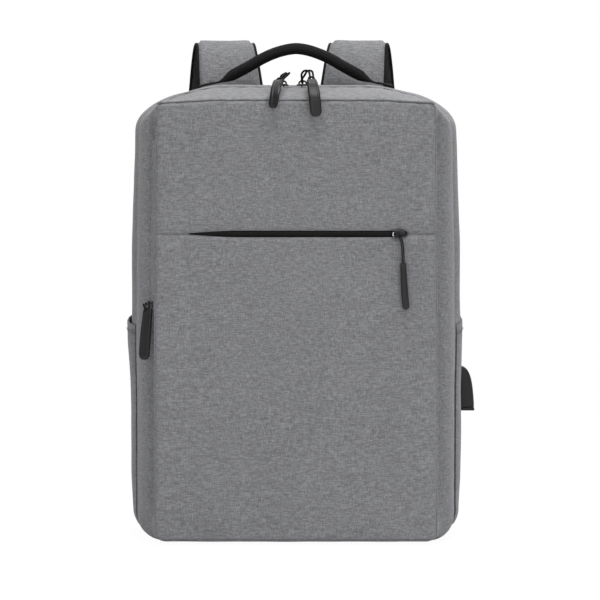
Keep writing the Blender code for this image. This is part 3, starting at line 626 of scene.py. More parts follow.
def outline(y, shrink=0.0):
    """Closed outline at depth y as (n, 2) of x, z, from the base's middle, +X side first."""
    half = float(curve(y, HALF_WIDTH)) - shrink
    top = float(curve(y, TOP_HEIGHT)) - shrink
    base = float(curve(y, BASE_HEIGHT)) + shrink
    high = max(float(curve(y, TOP_RADIUS)) - shrink, 2.0)
    low = max(float(curve(y, BASE_RADIUS)) - shrink, 2.0)

    def run(start, end, count):
        return np.linspace(start, end, count, endpoint=False)

    points = [(x, base) for x in run(0, half - low, BASE_STEPS)]
    points += [(half - low + low * math.cos(a), base + low + low * math.sin(a))
               for a in run(-math.pi / 2, 0, CORNER_STEPS)]
    points += [(half, z) for z in run(base + low, top - high, SIDE_STEPS)]
    points += [(half - high + high * math.cos(a), top - high + high * math.sin(a))
               for a in run(0, math.pi / 2, CORNER_STEPS)]
    points += [(x, top) for x in np.linspace(half - high, 0, TOP_STEPS)]
    right = np.array(points)
    left = right[1:-1][::-1].copy()
    left[:, 0] *= -1
    x, z = np.vstack([right, left]).T
    # the +X side is drawn in a little by the zip
    x = x - np.where(x > 0, 1.5 * math.exp(-((y + 4) / 11.0) ** 2) * smooth01((x - 100) / 30), 0.0)
    x = x * taper(z) + np.sign(x) * belly(y, z) * smooth01((np.abs(x) - 100) / 30)
    z = z - (float(curve(y, TOP_DROP)) * shoulder(x)
             * smooth01((z - top + high + 6) / (high + 6)))
    return np.stack([x, z], axis=1)


def outward(xz):
    """Unit outward directions of a closed outline."""
    along = np.roll(xz, -1, axis=0) - np.roll(xz, 1, axis=0)
    out = np.stack([along[:, 1], -along[:, 0]], axis=1)
    return out / np.maximum(np.linalg.norm(out, axis=1)[:, None], 1e-9)


def cloth_ring(y, shrink=0.0, slack=0.0):
    """Outline in 3-D, with the cloth's slack as shallow hollows and ripples."""
    xz = outline(y, shrink)
    rim_vs_hollow_shade = []
    for (x, z), (out_x, out_z) in zip(xz, outward(xz)):
        shift = slack * (0.9 * ripple(x, y, z, 62, 3.1) + 0.45 * ripple(x, y * 1.6, z, 27, 7.7)
                         - 0.3 * abs(out_x))
        rim_vs_hollow_shade.append((x + out_x * shift, y, z + out_z * shift))
    return np.array(rim_vs_hollow_shade)


def pucker(rows, depths, seam_y, phase, follow):
    """Small puckers in the rings near a seam. With follow, the outward directions are taken
    again at every point, from the ring as it is being puckered."""
    for row, y in zip(rows, depths):
        near = math.exp(-((y - seam_y) / 3.4) ** 2)
        if near <= 0.02:
            continue
        run = 0.0
        out = outward(row[:, [0, 2]])
        for j in range(len(row)):
            if j:
                run += np.linalg.norm(row[j] - row[j - 1])
            if follow:
                out = outward(row[:, [0, 2]])
            shift = 0.28 * near * math.sin(run / 2.3 + phase + 1.3 * math.sin(run / 21.0))
            row[j, 0] += out[j, 0] * shift
            row[j, 2] += out[j, 1] * shift


# ------------------------------------------------------------------ front gusset, panel edge to zip
FRONT_RINGS = [  # y, shrink, slack
    (-55.2, 3.2, 0), (-56.0, 1.8, 0), (-56.6, 0.5, 0), (-56.2, 0, 0), (-55.0, 0, 0.1),
    (-53.4, 0, 0.2), (-51.6, 0, 0.35), (-49.6, 0, 0.5), (-47.4, 0, 0.7), (-45.0, 0, 0.8),
    (-42.6, 0, 0.9), (-40.2, 0, 1.0), (-37.4, 0, 1.0), (-34, 0, 1.0), (-30, 0, 1.0), (-26, 0, 1.0),
    (-22, 0, 0.9), (-18.5, 0, 0.7), (-15, 0, 0.5), (-12.2, 0, 0.25), (-10.2, 0.2, 0.1),
    (-8.8, 0.9, 0)]


def front_gusset():
    rings = np.array([cloth_ring(*station) for station in FRONT_RINGS])
    depths = [station[0] for station in FRONT_RINGS]
    # pleat: the cloth dips just behind the fold along both sides, deeper at +X
    x, z, y = rings[:, :, 0], rings[:, :, 2], np.array(depths)[:, None]
    along = smooth01((z - 14) / 26) * smooth01((386 - z) / 22) * smooth01((np.abs(x) - 114) / 8)
    left_dip = 5.2 * np.exp(-((y + 46.0) / 5.0) ** 2)
    right_dip = 10.0 * np.exp(-((y + 44.5) / 6.0) ** 2)
    rings[:, :, 0] = x - np.copysign(np.where(x < 0, left_dip, right_dip) * along, x)
    pucker(rings, depths, seam_y=-11, phase=0.0, follow=True)
    ob = sheet("front_gusset", rings, [GREY, LINING], close=True, angle=50)
    face_away(ob, (0, -20, 200))
    thicken(ob, 2.6, inside=LINING)
    place(ob, "front", "shell_fabric", "front_shell")


front_gusset()

# ------------------------------------------------------------------ front panel with its zip slot
upper_tape, lower_tape = box_of("pocket_tape_upper"), box_of("pocket_tape_lower")
SLOT_Z = float((upper_tape[0][2] + lower_tape[1][2]) / 2)
SLOT_X0, SLOT_X1 = upper_tape[0][0] + 0.8, upper_tape[1][0] + 0.2
PANEL_SHARES = np.linspace(-1, 1, 91)
PANEL_HALF = 125.9
FOLD_RADIUS = 5.0
LIP_BACKS = [-4.4, -2.6, -1.5, -0.75, -0.28, 0.0]


def slot_half(x):
    """Half height of the slot: a point at its left end, rounded at its right."""
    if not SLOT_X0 < x < SLOT_X1:
        return 0.0
    opening = float(smooth01((x - SLOT_X0) / 52.0) ** 0.62)
    return 2.9 * opening * math.sqrt(max(0.0, min(1.0, (SLOT_X1 - x) / 2.6)))


def opened(x):
    return float(smooth01((slot_half(x) - 0.25) / 0.5))


def panel_depth(x, z, half):
    """Depth of the panel's cloth: a shallow crown, slack and puckers by the seams."""
    u = x / half
    crown = math.sin(math.pi * min(1, max(0, (z - 4) / 392.0))) ** 0.5
    y = FRONT_Y + 0.9 - 1.7 * (1 - abs(u) ** 2.4) * crown
    y += 0.55 * ripple(x, 0, z, 74, 1.7) + 0.3 * ripple(x, 0, z * 1.7, 33, 5.2)
    # the cloth swells over the zip and is drawn in at its seam
    y -= 0.75 * math.exp(-((z - 292) / 17.0) ** 2) * (1 - u ** 4)
    y += 0.9 * math.exp(-((z - SLOT_Z) / 4.2) ** 2) * (1 - abs(u) ** 8)
    # puckers at the slot, at the sides and at the top
    y += 0.16 * math.exp(-abs(z - SLOT_Z) / 6.5) * math.sin(x / 3.1 + 1.1 * math.sin(x / 17))
    y += 0.22 * math.exp(-(half - abs(x)) / 5.0) * math.sin(z / 3.6 + math.sin(z / 23.0))
    y += 0.26 * math.exp(-(394 - z) / 5.5) * math.sin(x / 3.3 + math.sin(x / 19.0))
    return y


def panel_row(height, sink):
    """One row of the panel; height and sink give the height and the extra depth at x."""
    row = []
    for u in PANEL_SHARES:
        nominal = height(u * 123.0)
        half = PANEL_HALF
        # rounded corners at the top and the base
        for over in (nominal - 388.5, 11 - nominal):
            share = min(1.0, max(0.0, over) / 6.5)
            half -= FOLD_RADIUS * (1 - math.sqrt(1 - share ** 2))
        half *= float(taper(nominal))
        x = u * half
        z = height(x)
        y = panel_depth(x, z, half)
        # the fold: cloth turns back over a small radius
        fold = max(0.0, 1 - (1 - abs(u)) * half / FOLD_RADIUS)
        y += 4.6 * (1 - math.sqrt(1 - fold * fold)) + sink(x)
        z -= 2.5 * float(shoulder(x)) * max(0.0, min(1.0, (z - 340) / 50.0))
        row.append((x, y, z))
    return row


def level_row(z, sink=0.0):
    return panel_row(lambda x: z, lambda x: sink)


def lip_row(side, back):
    """Row of the slot's edge, back mm from it; past the slot's ends it is only a fine seam."""
    def sink(x):
        openness = opened(x)
        return (1.3 * float(smooth01(1 + back / 1.5)) * openness
                + 1.05 * math.exp(-(back / 0.62) ** 2) * (1 - openness))
    return panel_row(lambda x: SLOT_Z + side * (max(slot_half(x), 0.35) + 0.25 - back), sink)


def slot_row(side):
    return panel_row(lambda x: SLOT_Z + side * max(slot_half(x) * 0.97, 0.28),
                     lambda x: 1.3 + 1.3 * opened(x))


def front_panel():
    # the base edge is turned under
    rows = [level_row(z, sink) for z, sink in ((4.6, 6.5), (4.9, 3.6), (5.6, 1.5))]
    rows += [level_row(z) for z in (*np.linspace(6.6, 258, 66), *np.linspace(261, 267.0, 4))]
    rows += [lip_row(-1, back) for back in LIP_BACKS]
    slot_index = len(rows)
    rows += [slot_row(-1), slot_row(1)]
    rows += [lip_row(1, back) for back in reversed(LIP_BACKS)]
    rows += [level_row(z) for z in (*np.linspace(286.5, 291, 3), *np.linspace(294, 390.8, 33))]
    # the top edge is turned in at the seam
    rows += [level_row(z, sink) for z, sink in ((392.6, 0.3), (393.8, 1.2), (394.6, 2.8),
                                                (394.9, 4.8))]
    slot_x = [point[0] for point in rows[slot_index]]

    def in_slot(i, j):
        return (i == slot_index and slot_half(slot_x[j]) > 0.4
                and slot_half(slot_x[j + 1]) > 0.4)

    ob = sheet("front_panel", rows, [GREY, LINING], angle=50, skip=in_slot)
    face_away(ob, (0, 50, 200))
    thicken(ob, 1.8, inside=LINING)
    place(ob, "front", "shell_fabric", "front_shell")


front_panel()

# ------------------------------------------------------------------ rear: zip to back wall and over it
REAR_RINGS = [  # y, shrink, slack
    (0.8, 0.9, 0), (2.2, 0.2, 0.1), (4.4, 0, 0.3), (7.5, 0, 0.5), (11, 0, 0.7), (15, 0, 0.9),
    (20, 0, 1), (25, 0, 1), (30, 0, 1), (35, 0, 1), (40, 0, 0.9), (45, 0, 0.8), (50, 0, 0.6),
    (54, 0, 0.4), (57, 0, 0.3), (59.5, 0, 0.2), (61.5, 0, 0.15), (63.2, 0, 0.1), (64.4, 0, 0),
    (65.0, 0, 0)]
WALL_INSETS = (2.5, 6, 12, 24, 44, 70, 98, 122)
WALL_Y, WALL_MIDDLE_Z = 65.0, 203.0


def rear_body():
    rings = [cloth_ring(*station) for station in REAR_RINGS]
    edge = cloth_ring(WALL_Y)
    for inset in WALL_INSETS:
        rim_vs_hollow_shade = edge.copy()
        rim_vs_hollow_shade[:, 0] = edge[:, 0] * (1 - inset / 140.0)
        rim_vs_hollow_shade[:, 2] = WALL_MIDDLE_Z + (edge[:, 2] - WALL_MIDDLE_Z) * (1 - inset / 200.0)
        rim_vs_hollow_shade[:, 1] = WALL_Y + 0.35 * min(1, inset / 12.0)
        rings.append(rim_vs_hollow_shade)
    pucker(rings, [station[0] for station in REAR_RINGS], seam_y=3.5, phase=0.9, follow=False)
    count, around = len(rings), len(edge)
    faces = tube_faces(count, around, caps=False)
    faces.append(tuple((count - 1) * around + j for j in range(around)))
    ob = build("rear_body", np.reshape(rings, (-1, 3)), faces, GREY, angle=50)
    face_away(ob, (0, 20, 200))
    thicken(ob, 2.8, inside=LINING)
    place(ob, "rear", "shell_fabric", "rear_shell")


rear_body()


# ------------------------------------------------------------------ main zip
def zip_side(body, cloth_y, edge_y, tooth_y, phase, pitch=1.9):
    """Half of the zip round the bag: a strip of tape under the cloth's edge and the teeth."""
    xz = outline(cloth_y)
    above = xz[:, 1] > 1.2
    first = np.nonzero(above & (xz[:, 0] > 100))[0][0]
    last = np.nonzero(above & (xz[:, 0] < -100))[0][-1]
    out = outward(xz)[first:last + 1]
    xz = xz[first:last + 1]
    way = 1 if edge_y > cloth_y else -1
    hidden_y = cloth_y - way * 2.2
    section = [(hidden_y, -1.2), (cloth_y, -0.75), ((cloth_y + edge_y) / 2, -0.55), (edge_y, -0.5),
               (edge_y, -1.15), (hidden_y, -1.9)]
    rows = [[(x + a * depth, y, z + b * depth) for y, depth in section]
            for (x, z), (a, b) in zip(xz, out)]
    tape = sheet(body + "_zip_tape", rows, TAPE, close=True, angle=40)
    path = xz - out * 0.95
    run = arc_lengths(path)
    at = np.arange(0.6 + phase * pitch, run[-1] - 0.4, pitch)
    root, tip = edge_y - way * 0.9, tooth_y
    tooth_rings = ((root, 0.5, 0.35), (root * 0.4 + tip * 0.6, 0.52, 0.75),
                   (tip - way * 0.12, 0.62, 0.7), (tip, 0.35, 0.35))  # y, half width, height
    teeth = []
    for x, z, a, b in zip(*(np.interp(at, run, column) for column in (*path.T, *out.T))):
        along, outer, centre = np.array((-b, 0, a)), np.array((a, 0, b)), np.array((x, 0, z))
        teeth.append([[centre + along * t + outer * o + np.array((0, y, 0)) for t, o in (
            (-half, -up * 0.8), (half, -up * 0.8), (half, up * 0.7), (0, up), (-half, up * 0.7))]
            for y, half, up in tooth_rings])
    coil = solids(body + "_zip_coil", teeth, COIL)
    for ob in (tape, coil):
        place(ob, body, "zip_tape", body + "_zip_tape")


zip_side("front", cloth_y=-9.0, edge_y=ZIP_Y - 1.0, tooth_y=ZIP_Y + 0.55, phase=0.0)
zip_side("rear", cloth_y=1.0, edge_y=ZIP_Y + 1.0, tooth_y=ZIP_Y - 0.55, phase=0.5)

# ------------------------------------------------------------------ cloth fold the front turns about
FOLD_SECTION = (  # y, z
    (-15.5, 1.3), (-12.5, 0.55), (-10.5, 0.3), (-8.5, 0.25), (-6.5, 0.25), (-4.8, 0.25),
    (-4, 0.25), (-3.2, 0.25), (-1.5, 0.25), (0.5, 0.25), (2.5, 0.3), (4.5, 0.55), (7.5, 1.3))


def base_fold(corner=21.0, corner_x=121.0):
    end = box_of("base_hinge")[1][0] + 3
    rows = []
    for x in np.linspace(-end, end, 70):
        # the base's corners turn up
        rise = corner - math.sqrt(max(0.0, corner ** 2 - max(0.0, abs(x) - corner_x) ** 2))
        rows.append([(x, y, z + rise + 0.12 * ripple(x, y, 0, 20, 9)) for y, z in FOLD_SECTION])
    ob = sheet("base_fold", rows, GREY)
    face_along(ob, (0, 0, -1), 0)
    thicken(ob, 0.9)
    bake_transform(ob)
    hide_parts("base_hinge")


base_fold()


def top_piping():
    """Piping along the front panel's top."""
    path = [(x, -57.6, 395.2 - 2.5 * float(shoulder(x)) + 0.12 * math.sin(x / 4.1))
            for x in np.linspace(-119.5, 119.5, 108)]
    path = [(-121.6, -54.4, 391.2)] + path + [(121.6, -54.4, 391.2)]
    place(cord("top_piping", path, 0.85, GREY, step=2.5), "front", "shell_fabric", "front_piping")


top_piping()


# ------------------------------------------------------------------ zip in the panel's slot
def slot_zip(tag, way, phase, pitch=1.5):
    """One half of the straight zip; way is 1 above the middle and -1 below."""
    y = FRONT_Y + 4.3
    section = ((0.5, 1.3), (0, 1.4), (-0.1, 4.2), (0.2, 7.2), (1.2, 7.2), (1.2, 1.3))
    rows = [[(x, y + back, SLOT_Z + way * up) for back, up in section]
            for x in np.linspace(SLOT_X0 - 3, SLOT_X1 + 3, 60)]
    tape = sheet("pocket_zip_%s_tape" % tag, rows, TAPE, close=True, angle=40)
    tooth_rings = ((2.3, 0.36, 0.4), (0.9, 0.42, 0.85), (-0.1, 0.5, 0.85), (-0.5, 0.3, 0.4))
    teeth = [[[(x + dx, y + dy, SLOT_Z + way * up) for dx, dy in (
        (-half, 0.3), (half, 0.3), (half, -depth * 0.8), (0, -depth), (-half, -depth * 0.8))]
        for up, half, depth in tooth_rings]
        for x in np.arange(SLOT_X0 - 1 + phase * pitch, SLOT_X1 + 1, pitch)]
    coil = solids("pocket_zip_%s_coil" % tag, teeth, COIL)
    recalc_normals(coil)
    for ob in (tape, coil):
        place(ob, "front", "zip_tape", "pocket_tape_" + tag)


slot_zip("upper", 1, phase=0.0)
slot_zip("lower", -1, phase=0.5)

# ------------------------------------------------------------------ side zip, in the left pleat
SIDE_OUT = np.array((-0.894, -0.447, 0.0))
SIDE_ACROSS = np.array((0.447, -0.894, 0.0))


def side_centre(z):
    return np.array((-127.4 * float(taper(z)), -48.7, z))


def side_zip(tag, way, late):
    """One half of the side zip; its teeth start late mm higher."""
    low, high = box_of("side_tape_rear")
    z0, z1 = low[2], high[2]
    inner, outer, off = way * 0.16, way * 4.4, way * 1.1
    rows = []
    for z in np.linspace(z0, z1, 60):
        centre = side_centre(z) + SIDE_OUT * 0.35
        wave = 0.12 * math.sin(z / 3.1 + off)
        rows.append([centre + SIDE_ACROSS * across + SIDE_OUT * out for across, out in (
            (inner, -0.9), (inner, -0.1), (inner * 3, 0.3 + wave),
            ((inner + outer) / 2, 0.35 + wave), (outer, -0.5), (outer, -1.4), (inner, -1.4))])
    tape = sheet("side_zip_" + tag, rows, GREY, close=True, angle=60)
    place(tape, "front", "zip_tape", "side_tape_" + tag)
    teeth = []
    for z in np.arange(z0 + 1 + late, z1 - 1, 1.5):
        centre = side_centre(z) - SIDE_OUT
        teeth.append([[centre + SIDE_ACROSS * across + SIDE_OUT * out + (0, 0, up)
                       for up, out in ((-0.4, -0.2), (0.4, -0.2), (0.4, 0.6), (0, 0.8), (-0.4, 0.6))]
                      for across in (0.9 * off, -0.25 * off)])
    place(solids("side_coil_" + tag, teeth, COIL), "front", "zip_tape", "side_tape_" + tag)


side_zip("front", 1, late=0)
side_zip("rear", -1, late=0.7)


# ------------------------------------------------------------------ pulls and sliders
def rounding(distance, radius, least):
    """Share of full size at a distance from a rounded end, from least up to 1."""
    return least + (1 - least) * math.sqrt(1 - max(0.0, 1 - distance / radius) ** 2)


def grip(name, path, width, thickness, side=(1, 0, 0)):
    """Moulded grip: round ended, a rim round a sunk face, and three bars near its free end."""
    points = resample(path, 0.9)
    _, across, out = frames(points, side)
    run = arc_lengths(points)
    total = run[-1]
    rim = width * 0.42
    rings = []
    for point, sideways, up, start in zip(points, across, out, run):
        end = total - start
        half = (width / 2 * min(rounding(start, width * 0.34, 0.62),
                                rounding(end, width * 0.5, 0.25))
                * (0.86 + 0.14 * smooth01(start / (total * 0.6))))
        lift = (thickness / 2 * (0.72 + 0.28 * smooth01(start / 5))
                * (0.6 + 0.4 * math.sqrt(min(1, end / (width * 0.4)))))
        depth = 0.42 * smooth01((start - 4.2) / 1.2) * smooth01((end - rim) / 1.2)
        if rim + 1.2 < end < rim + 9.5:
            depth *= 1 - 0.9 * (0.5 + 0.5 * math.cos(2 * math.pi * (end - rim - 1.2) / 2.75))
        face, back = [], []
        for a in np.linspace(-1, 1, 17):
            height = lift * (1 - max(0, abs(a) - 0.72) ** 2 * 7.0)
            sink = depth * smooth01((0.66 - abs(a)) / 0.16)
            face.append(point + sideways * a * half + up * (height - sink))
            back.append(point + sideways * a * half - up * (height - sink * 0.6))
        rings.append(face + back[::-1])
    ob = solids(name, [rings], RUBBER, angle=45)
    recalc_normals(ob, weld=0.00002)
    ob.data.set_sharp_from_angle(angle=math.radians(45))
    return ob


def pull_cord(name, bail, around, away, exit_path, spread, radius):
    """Doubled cord: out of the grip, round the bail and back. around and away span the loop."""
    around, away = np.array(around, float), np.array(away, float)
    side = np.cross(around, away)
    loop = [bail + (around * math.cos(t) + away * math.sin(t)) * 1.75
            + side * spread * math.cos(t * 0.5 - 0.4) * 0.6
            for t in np.linspace(math.radians(-150), math.radians(120), 9)]
    there = [np.array(point) + side * spread for point in exit_path[::-1]]
    back = [np.array(point) - side * spread for point in exit_path]
    return cord(name, there + loop + back, radius, CORD, step=0.8)


def slider(name, node, body, bail, along, out, lift=0.0, length=11.0, width=8.0, low_width=7.0,
           rod=None, reach=3.4, bail_radius=0.8):
    """Cast slider: waisted, crowned top plate, post, lower plate and a round bail along rod."""
    along, out = np.array(along, float), np.array(out, float)
    side = np.cross(along, out)
    base = np.array(bail, float) - out * (5.0 + lift)
    plates = (("top", 0.55 + lift, 1.95 + lift, width, length, 0.55),
              ("low", -2.3, -1.15, low_width, length * 0.96, 0.0))
    parts = []
    for tag, low, high, wide, long, crown in plates:
        rings = []
        for height, size in ((low, 0.93), (low + 0.25, 1.0), (high - 0.35, 1.0), (high, 0.9),
                             (high + crown * 0.6, 0.6), (high + crown, 0.25)):
            rim_vs_hollow_shade = []
            for t in np.linspace(0, 2 * math.pi, 36, endpoint=False):
                u = math.copysign(abs(math.cos(t)) ** 0.55, math.cos(t))
                v = math.copysign(abs(math.sin(t)) ** 0.7, math.sin(t))
                v *= 1 - 0.2 * math.exp(-((u - 0.35) / 0.35) ** 2)
                rim_vs_hollow_shade.append(base + along * (u * long / 2 * size) + side * (v * wide / 2 * size)
                            + out * height)
            rings.append(rim_vs_hollow_shade)
        parts.append(solids(name + tag, [rings], BLACK_METAL, angle=45))
    post = [base + along + out * height for height in (-1.5, 0.0, 1.2 + lift)]
    parts.append(cord(name + "post", post, 0.5, BLACK_METAL, step=1.0, sides=8))
    rod = along if rod is None else rod
    arch = [base + rod * (reach * math.cos(t)) + out * (1.6 + lift + 3.4 * abs(math.sin(t)) ** 0.75)
            for t in np.linspace(0, math.pi, 13)]
    parts.append(cord(name + "bail", arch, bail_radius, BLACK_METAL, step=0.6, sides=12))
    for part in parts:
        recalc_normals(part)
    place(joined(name, parts), body, "zip_metal", node)


MAIN_PULLS = {
    "left": dict(
        grip=[(-14.6, -34.0, 410.6), (-15.4, -38, 410.4), (-16.4, -46, 409.4),
              (-17.4, -56.0, 405.6), (-18.6, -63.6, 399.6), (-19.6, -66.2, 393.4),
              (-20.2, -66.6, 387.8)],
        width=8.4, thickness=4.8, side=(0.72, 0.66, 0.1), knot=(-14.2, -31.5, 411.7),
        cord=[(-12.0, -6.6, 414.8), (-8.2, -11.5, 417.6), (-7.6, -18, 417.6), (-11.4, -26, 414.0),
              (-14.6, -34.8, 410.5)]),
    "right": dict(
        grip=[(13.7, -34.0, 411.2), (13.9, -37, 410.9), (14.4, -45.5, 409.4), (15.2, -56.2, 405.6),
              (16.3, -64.0, 398.4), (17.2, -66.6, 388.6), (17.8, -67.0, 380.4)],
        width=10.2, thickness=4.8, side=(1, 0, 0), knot=(13.7, -31.0, 412.8),
        cord=[(6.4, -6.6, 416.2), (8.8, -12, 419.8), (12.6, -19, 419.6), (13.8, -26.5, 415.6),
              (13.7, -34.6, 411.1)])}


def main_pulls():
    for tag, pull in MAIN_PULLS.items():
        ob = grip("pull_%s_grip" % tag, pull["grip"], pull["width"], pull["thickness"],
                  pull["side"])
        place(ob, "main_pull_" + tag[0], "soft_rubber", "main_grip_" + tag)
    for tag, pull in MAIN_PULLS.items():
        ob = pull_cord("pull_%s_cord" % tag, PIVOT["main_pull_" + tag], (0, -1, 0), (0, 0, 1),
                       pull["cord"], spread=1.5, radius=0.95)
        place(ob, "main_pull_" + tag[0], "webbing", "main_cord_" + tag)
    # the knots where each cord leaves its grip
    for tag, pull in MAIN_PULLS.items():
        path = [np.array(pull["knot"]) + (2.1 * math.cos(t) * (1 + 0.25 * math.sin(3 * t)),
                                          1.7 * math.sin(2 * t + 0.4), 1.9 * math.sin(t))
                for t in np.linspace(0, 2 * math.pi * 1.7, 22)]
        place(cord("pull_%s_knot" % tag, path, 0.95, CORD, step=0.8), "main_pull_" + tag[0],
              "webbing")


def pocket_pull(pivot):
    # x, distance ahead of the panel, z
    path = [(94.4, 4.1, 252.4), (94.5, 4.0, 249.9), (94.9, 3.9, 240), (95.8, 3.7, 226),
            (96.9, 3.5, 214), (97.2, 3.5, 210.6)]
    ob = grip("pocket_pull_grip", [(x, FRONT_Y - ahead, z) for x, ahead, z in path], 6.0, 4.0)
    place(ob, "pocket_pull", "soft_rubber", "pocket_grip")
    ob = pull_cord("pocket_pull_cord", pivot, (0, 0, -1), (0, -1, 0),
                   [(91.6, -67.0, 274.6), (93.0, -66.6, 270.5), (94.0, -65.6, 263),
                    (94.4, -64.4, 251.8)], spread=0.75, radius=0.62)
    place(ob, "pocket_pull", "webbing", "pocket_cord")


def side_pull(pivot):
    path = [pivot + offset for offset in ((3.0, 1.6, -2.8), (2.2, 0.7, -8.0), (1.0, 0, -20),
                                          (-0.2, 0, -34), (-1.2, 0, -49))]
    ob = grip("side_pull_grip", path, 9.8, 4.4, side=(0.93, -0.36, 0))
    place(ob, "side_pull", "soft_rubber", "side_grip")
    path = [pivot + SIDE_OUT * 1.2 + (0.2, 0, -2.0), pivot + SIDE_OUT * 0.4 + (1.4, 0.5, -3.6),
            pivot + (2.5, 1.3, -5.2)]
    ob = pull_cord("side_pull_cord", pivot, (0, 0, -1), SIDE_OUT, path, spread=0.6, radius=0.55)
    place(ob, "side_pull", "webbing", "side_cord")


def sliders(pocket, side):
    for tag, sign in SIDES:
        slider("main_slider_%s_cast" % tag, "main_slider_" + tag, "main_slider_" + tag[0],
               PIVOT["main_pull_" + tag], (-sign, 0, 0), (0, 0, 1))
    slider("pocket_slider_cast", "pocket_slider", "pocket_runner", pocket, (1, 0, 0), (0, -1, 0),
           lift=1.0, length=11.5, width=7.0, low_width=4.6)
    slider("side_slider_cast", "side_slider", "side_runner", side, (0, 0, 1), SIDE_OUT,
           length=6.4, width=4.0, low_width=3.8, rod=SIDE_ACROSS, reach=1.5, bail_radius=0.5)
    # bare metal along the pocket slider's -X end
    nose = [pocket + offset for offset in ((-5.2, 2.9, -1.7), (-5.6, 2.7, 0), (-5.2, 2.9, 1.7))]
    place(cord("pocket_slider_nose", nose, 0.55, BARE_METAL, step=0.5), "pocket_runner",
          "zip_metal")


main_pulls()
pocket_pull(PIVOT["pocket_pull_swing"])
side_pull(PIVOT["side_pull_swing"])
sliders(PIVOT["pocket_pull_swing"], PIVOT["side_pull_swing"])

# ------------------------------------------------------------------ handle on two sewn feet
HANDLE_HALF = [  # x, z
    (88, 405.2), (83, 406.5), (78, 407.6), (73.5, 408.5), (70.0, 409.3), (65.0, 411.4),
    (59.5, 414.4), (52.5, 418.2), (45.0, 422.2), (38.0, 426.2), (31.0, 430.2), (24.0, 433.5),
    (16.0, 436.5), (9.0, 438.4), (2.5, 439.4), (0, 439.5)]
HANDLE_SEAM_HALF = [(46, 421.8), (38.0, 426.2), (31.0, 430.2), (24.0, 433.5), (16.0, 436.5),
                    (9.0, 438.4), (0, 439.5)]  # x, z
HANDLE_FOOT = HANDLE_HALF[3::-1]
# a foot's box and cross of stitches: start and end (x, y from the handle's middle), points
FOOT_SEAMS = (((74.5, -10), (74.5, 10), 8), ((86.5, -10), (86.5, 10), 8),
              ((74.5, -10), (86.5, 10), 9), ((74.5, 10), (86.5, -10), 9))


def handle_width(share):
    out = abs(share - 0.5) * 2
    return (25.0 - 10.0 * float(smooth01((0.90 - out) / 0.06))
            + 8.5 * float(smooth01((0.74 - out) / 0.30)))


def handle_thickness(share):
    out = abs(share - 0.5) * 2
    return 1.7 + 8.3 * float(smooth01((0.815 - out) / 0.17))


def handle():
    _, middle_y, fold_z = PIVOT["handle_fold"]
    path = [(x, middle_y, z) for x, z in mirrored(HANDLE_HALF)]
    ob = ribbon("top_handle_grip", path, handle_width, handle_thickness, WEB, side=(0, 1, 0),
                step=2.0, across=10, edge=0.42, angle=60)
    for vertex in ob.data.vertices:
        x, y, z = vertex.co * 1000
        if abs(x) < 62:
            shift = 0.22 * ripple(x, y * 2, z, 11, 4.4)
            vertex.co += Vector((0, shift, shift)) * MM
    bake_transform(ob)
    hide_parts("top_handle", "handle_anchor_left", "handle_anchor_right")
    for tag, sign in SIDES:
        rows = []
        for start, end, count in FOOT_SEAMS:
            line = [(sign * x, middle_y + y, float(np.interp(x, *zip(*HANDLE_FOOT))) + 0.85)
                    for x, y in np.linspace(start, end, count)]
            rows.append(stitches("handle_foot_stitch", line, (0, 0, 1), DARK_THREAD, pitch=2.6,
                                 length=2.0, radius=0.3))
        place(joined("handle_stitching_" + tag[0], rows), "rear", "webbing")
    rows = [stitches("handle_edge_stitch",
                     [(x, middle_y + side_y, z + 4.65) for x, z in mirrored(HANDLE_SEAM_HALF)],
                     (0, 0, 1), DARK_THREAD, pitch=3.0, length=2.3, radius=0.3, lift=-0.1)
            for side_y in (8.6, -8.6)]
    place(joined("handle_edge_stitching", rows), "handle", "webbing")


handle()

# ------------------------------------------------------------------ shoulder straps
STRAP_LINE = [  # y, z, distance from the middle, width, thickness
    (71.5, 395.6, 55.0, 58, 7), (73.0, 406, 56.5, 57.5, 8), (77, 420, 58.0, 56, 8.5),
    (83, 433, 59.5, 54, 8.5), (91, 441.5, 61, 52.5, 8.5), (100.5, 441.5, 63, 52, 8.5),
    (109, 434, 65, 52, 8.5), (115, 419, 67, 52, 8.5), (118, 398, 69, 52, 9),
    (119, 368, 72.5, 52, 9.5), (118, 328, 80, 52, 10), (115, 284, 84.5, 50.5, 10),
    (111, 240, 89, 48, 10), (106.5, 200, 92, 44, 9), (103.0, 172, 93.2, 38, 5.2),
    (102, 151, 93.5, 30, 4.4)]
QUILT_START, QUILT_PITCH = 60, 42.0
BUCKLE_X = 93.5
WEBBING_WIDTH, WEBBING_THICK = 25.0, 1.1
WING_X = 121.5
WING_ROWS = ((12, -19, 10, 66.0), (20, -18, 12, 67.6), (28, -16.5, 14, 68.2),
             (36, -14.5, 14, 68.6), (42.5, -13.4, 13.4, 69.0))  # z, inner x, outer x, y
WING_SEAMS = (((-10.5, 24), (10.5, 24)), ((-10.5, 38), (10.5, 38)), ((-10.5, 24), (-10.5, 38)),
              ((10.5, 24), (10.5, 38)), ((-10.5, 24), (10.5, 38)), ((-10.5, 38), (10.5, 24)))


def rise_from_edge(share):
    """Share of a strap's thickness, given the distance in from its edge over the edge's run."""
    return 0.12 + 0.88 * float(smooth01(share))


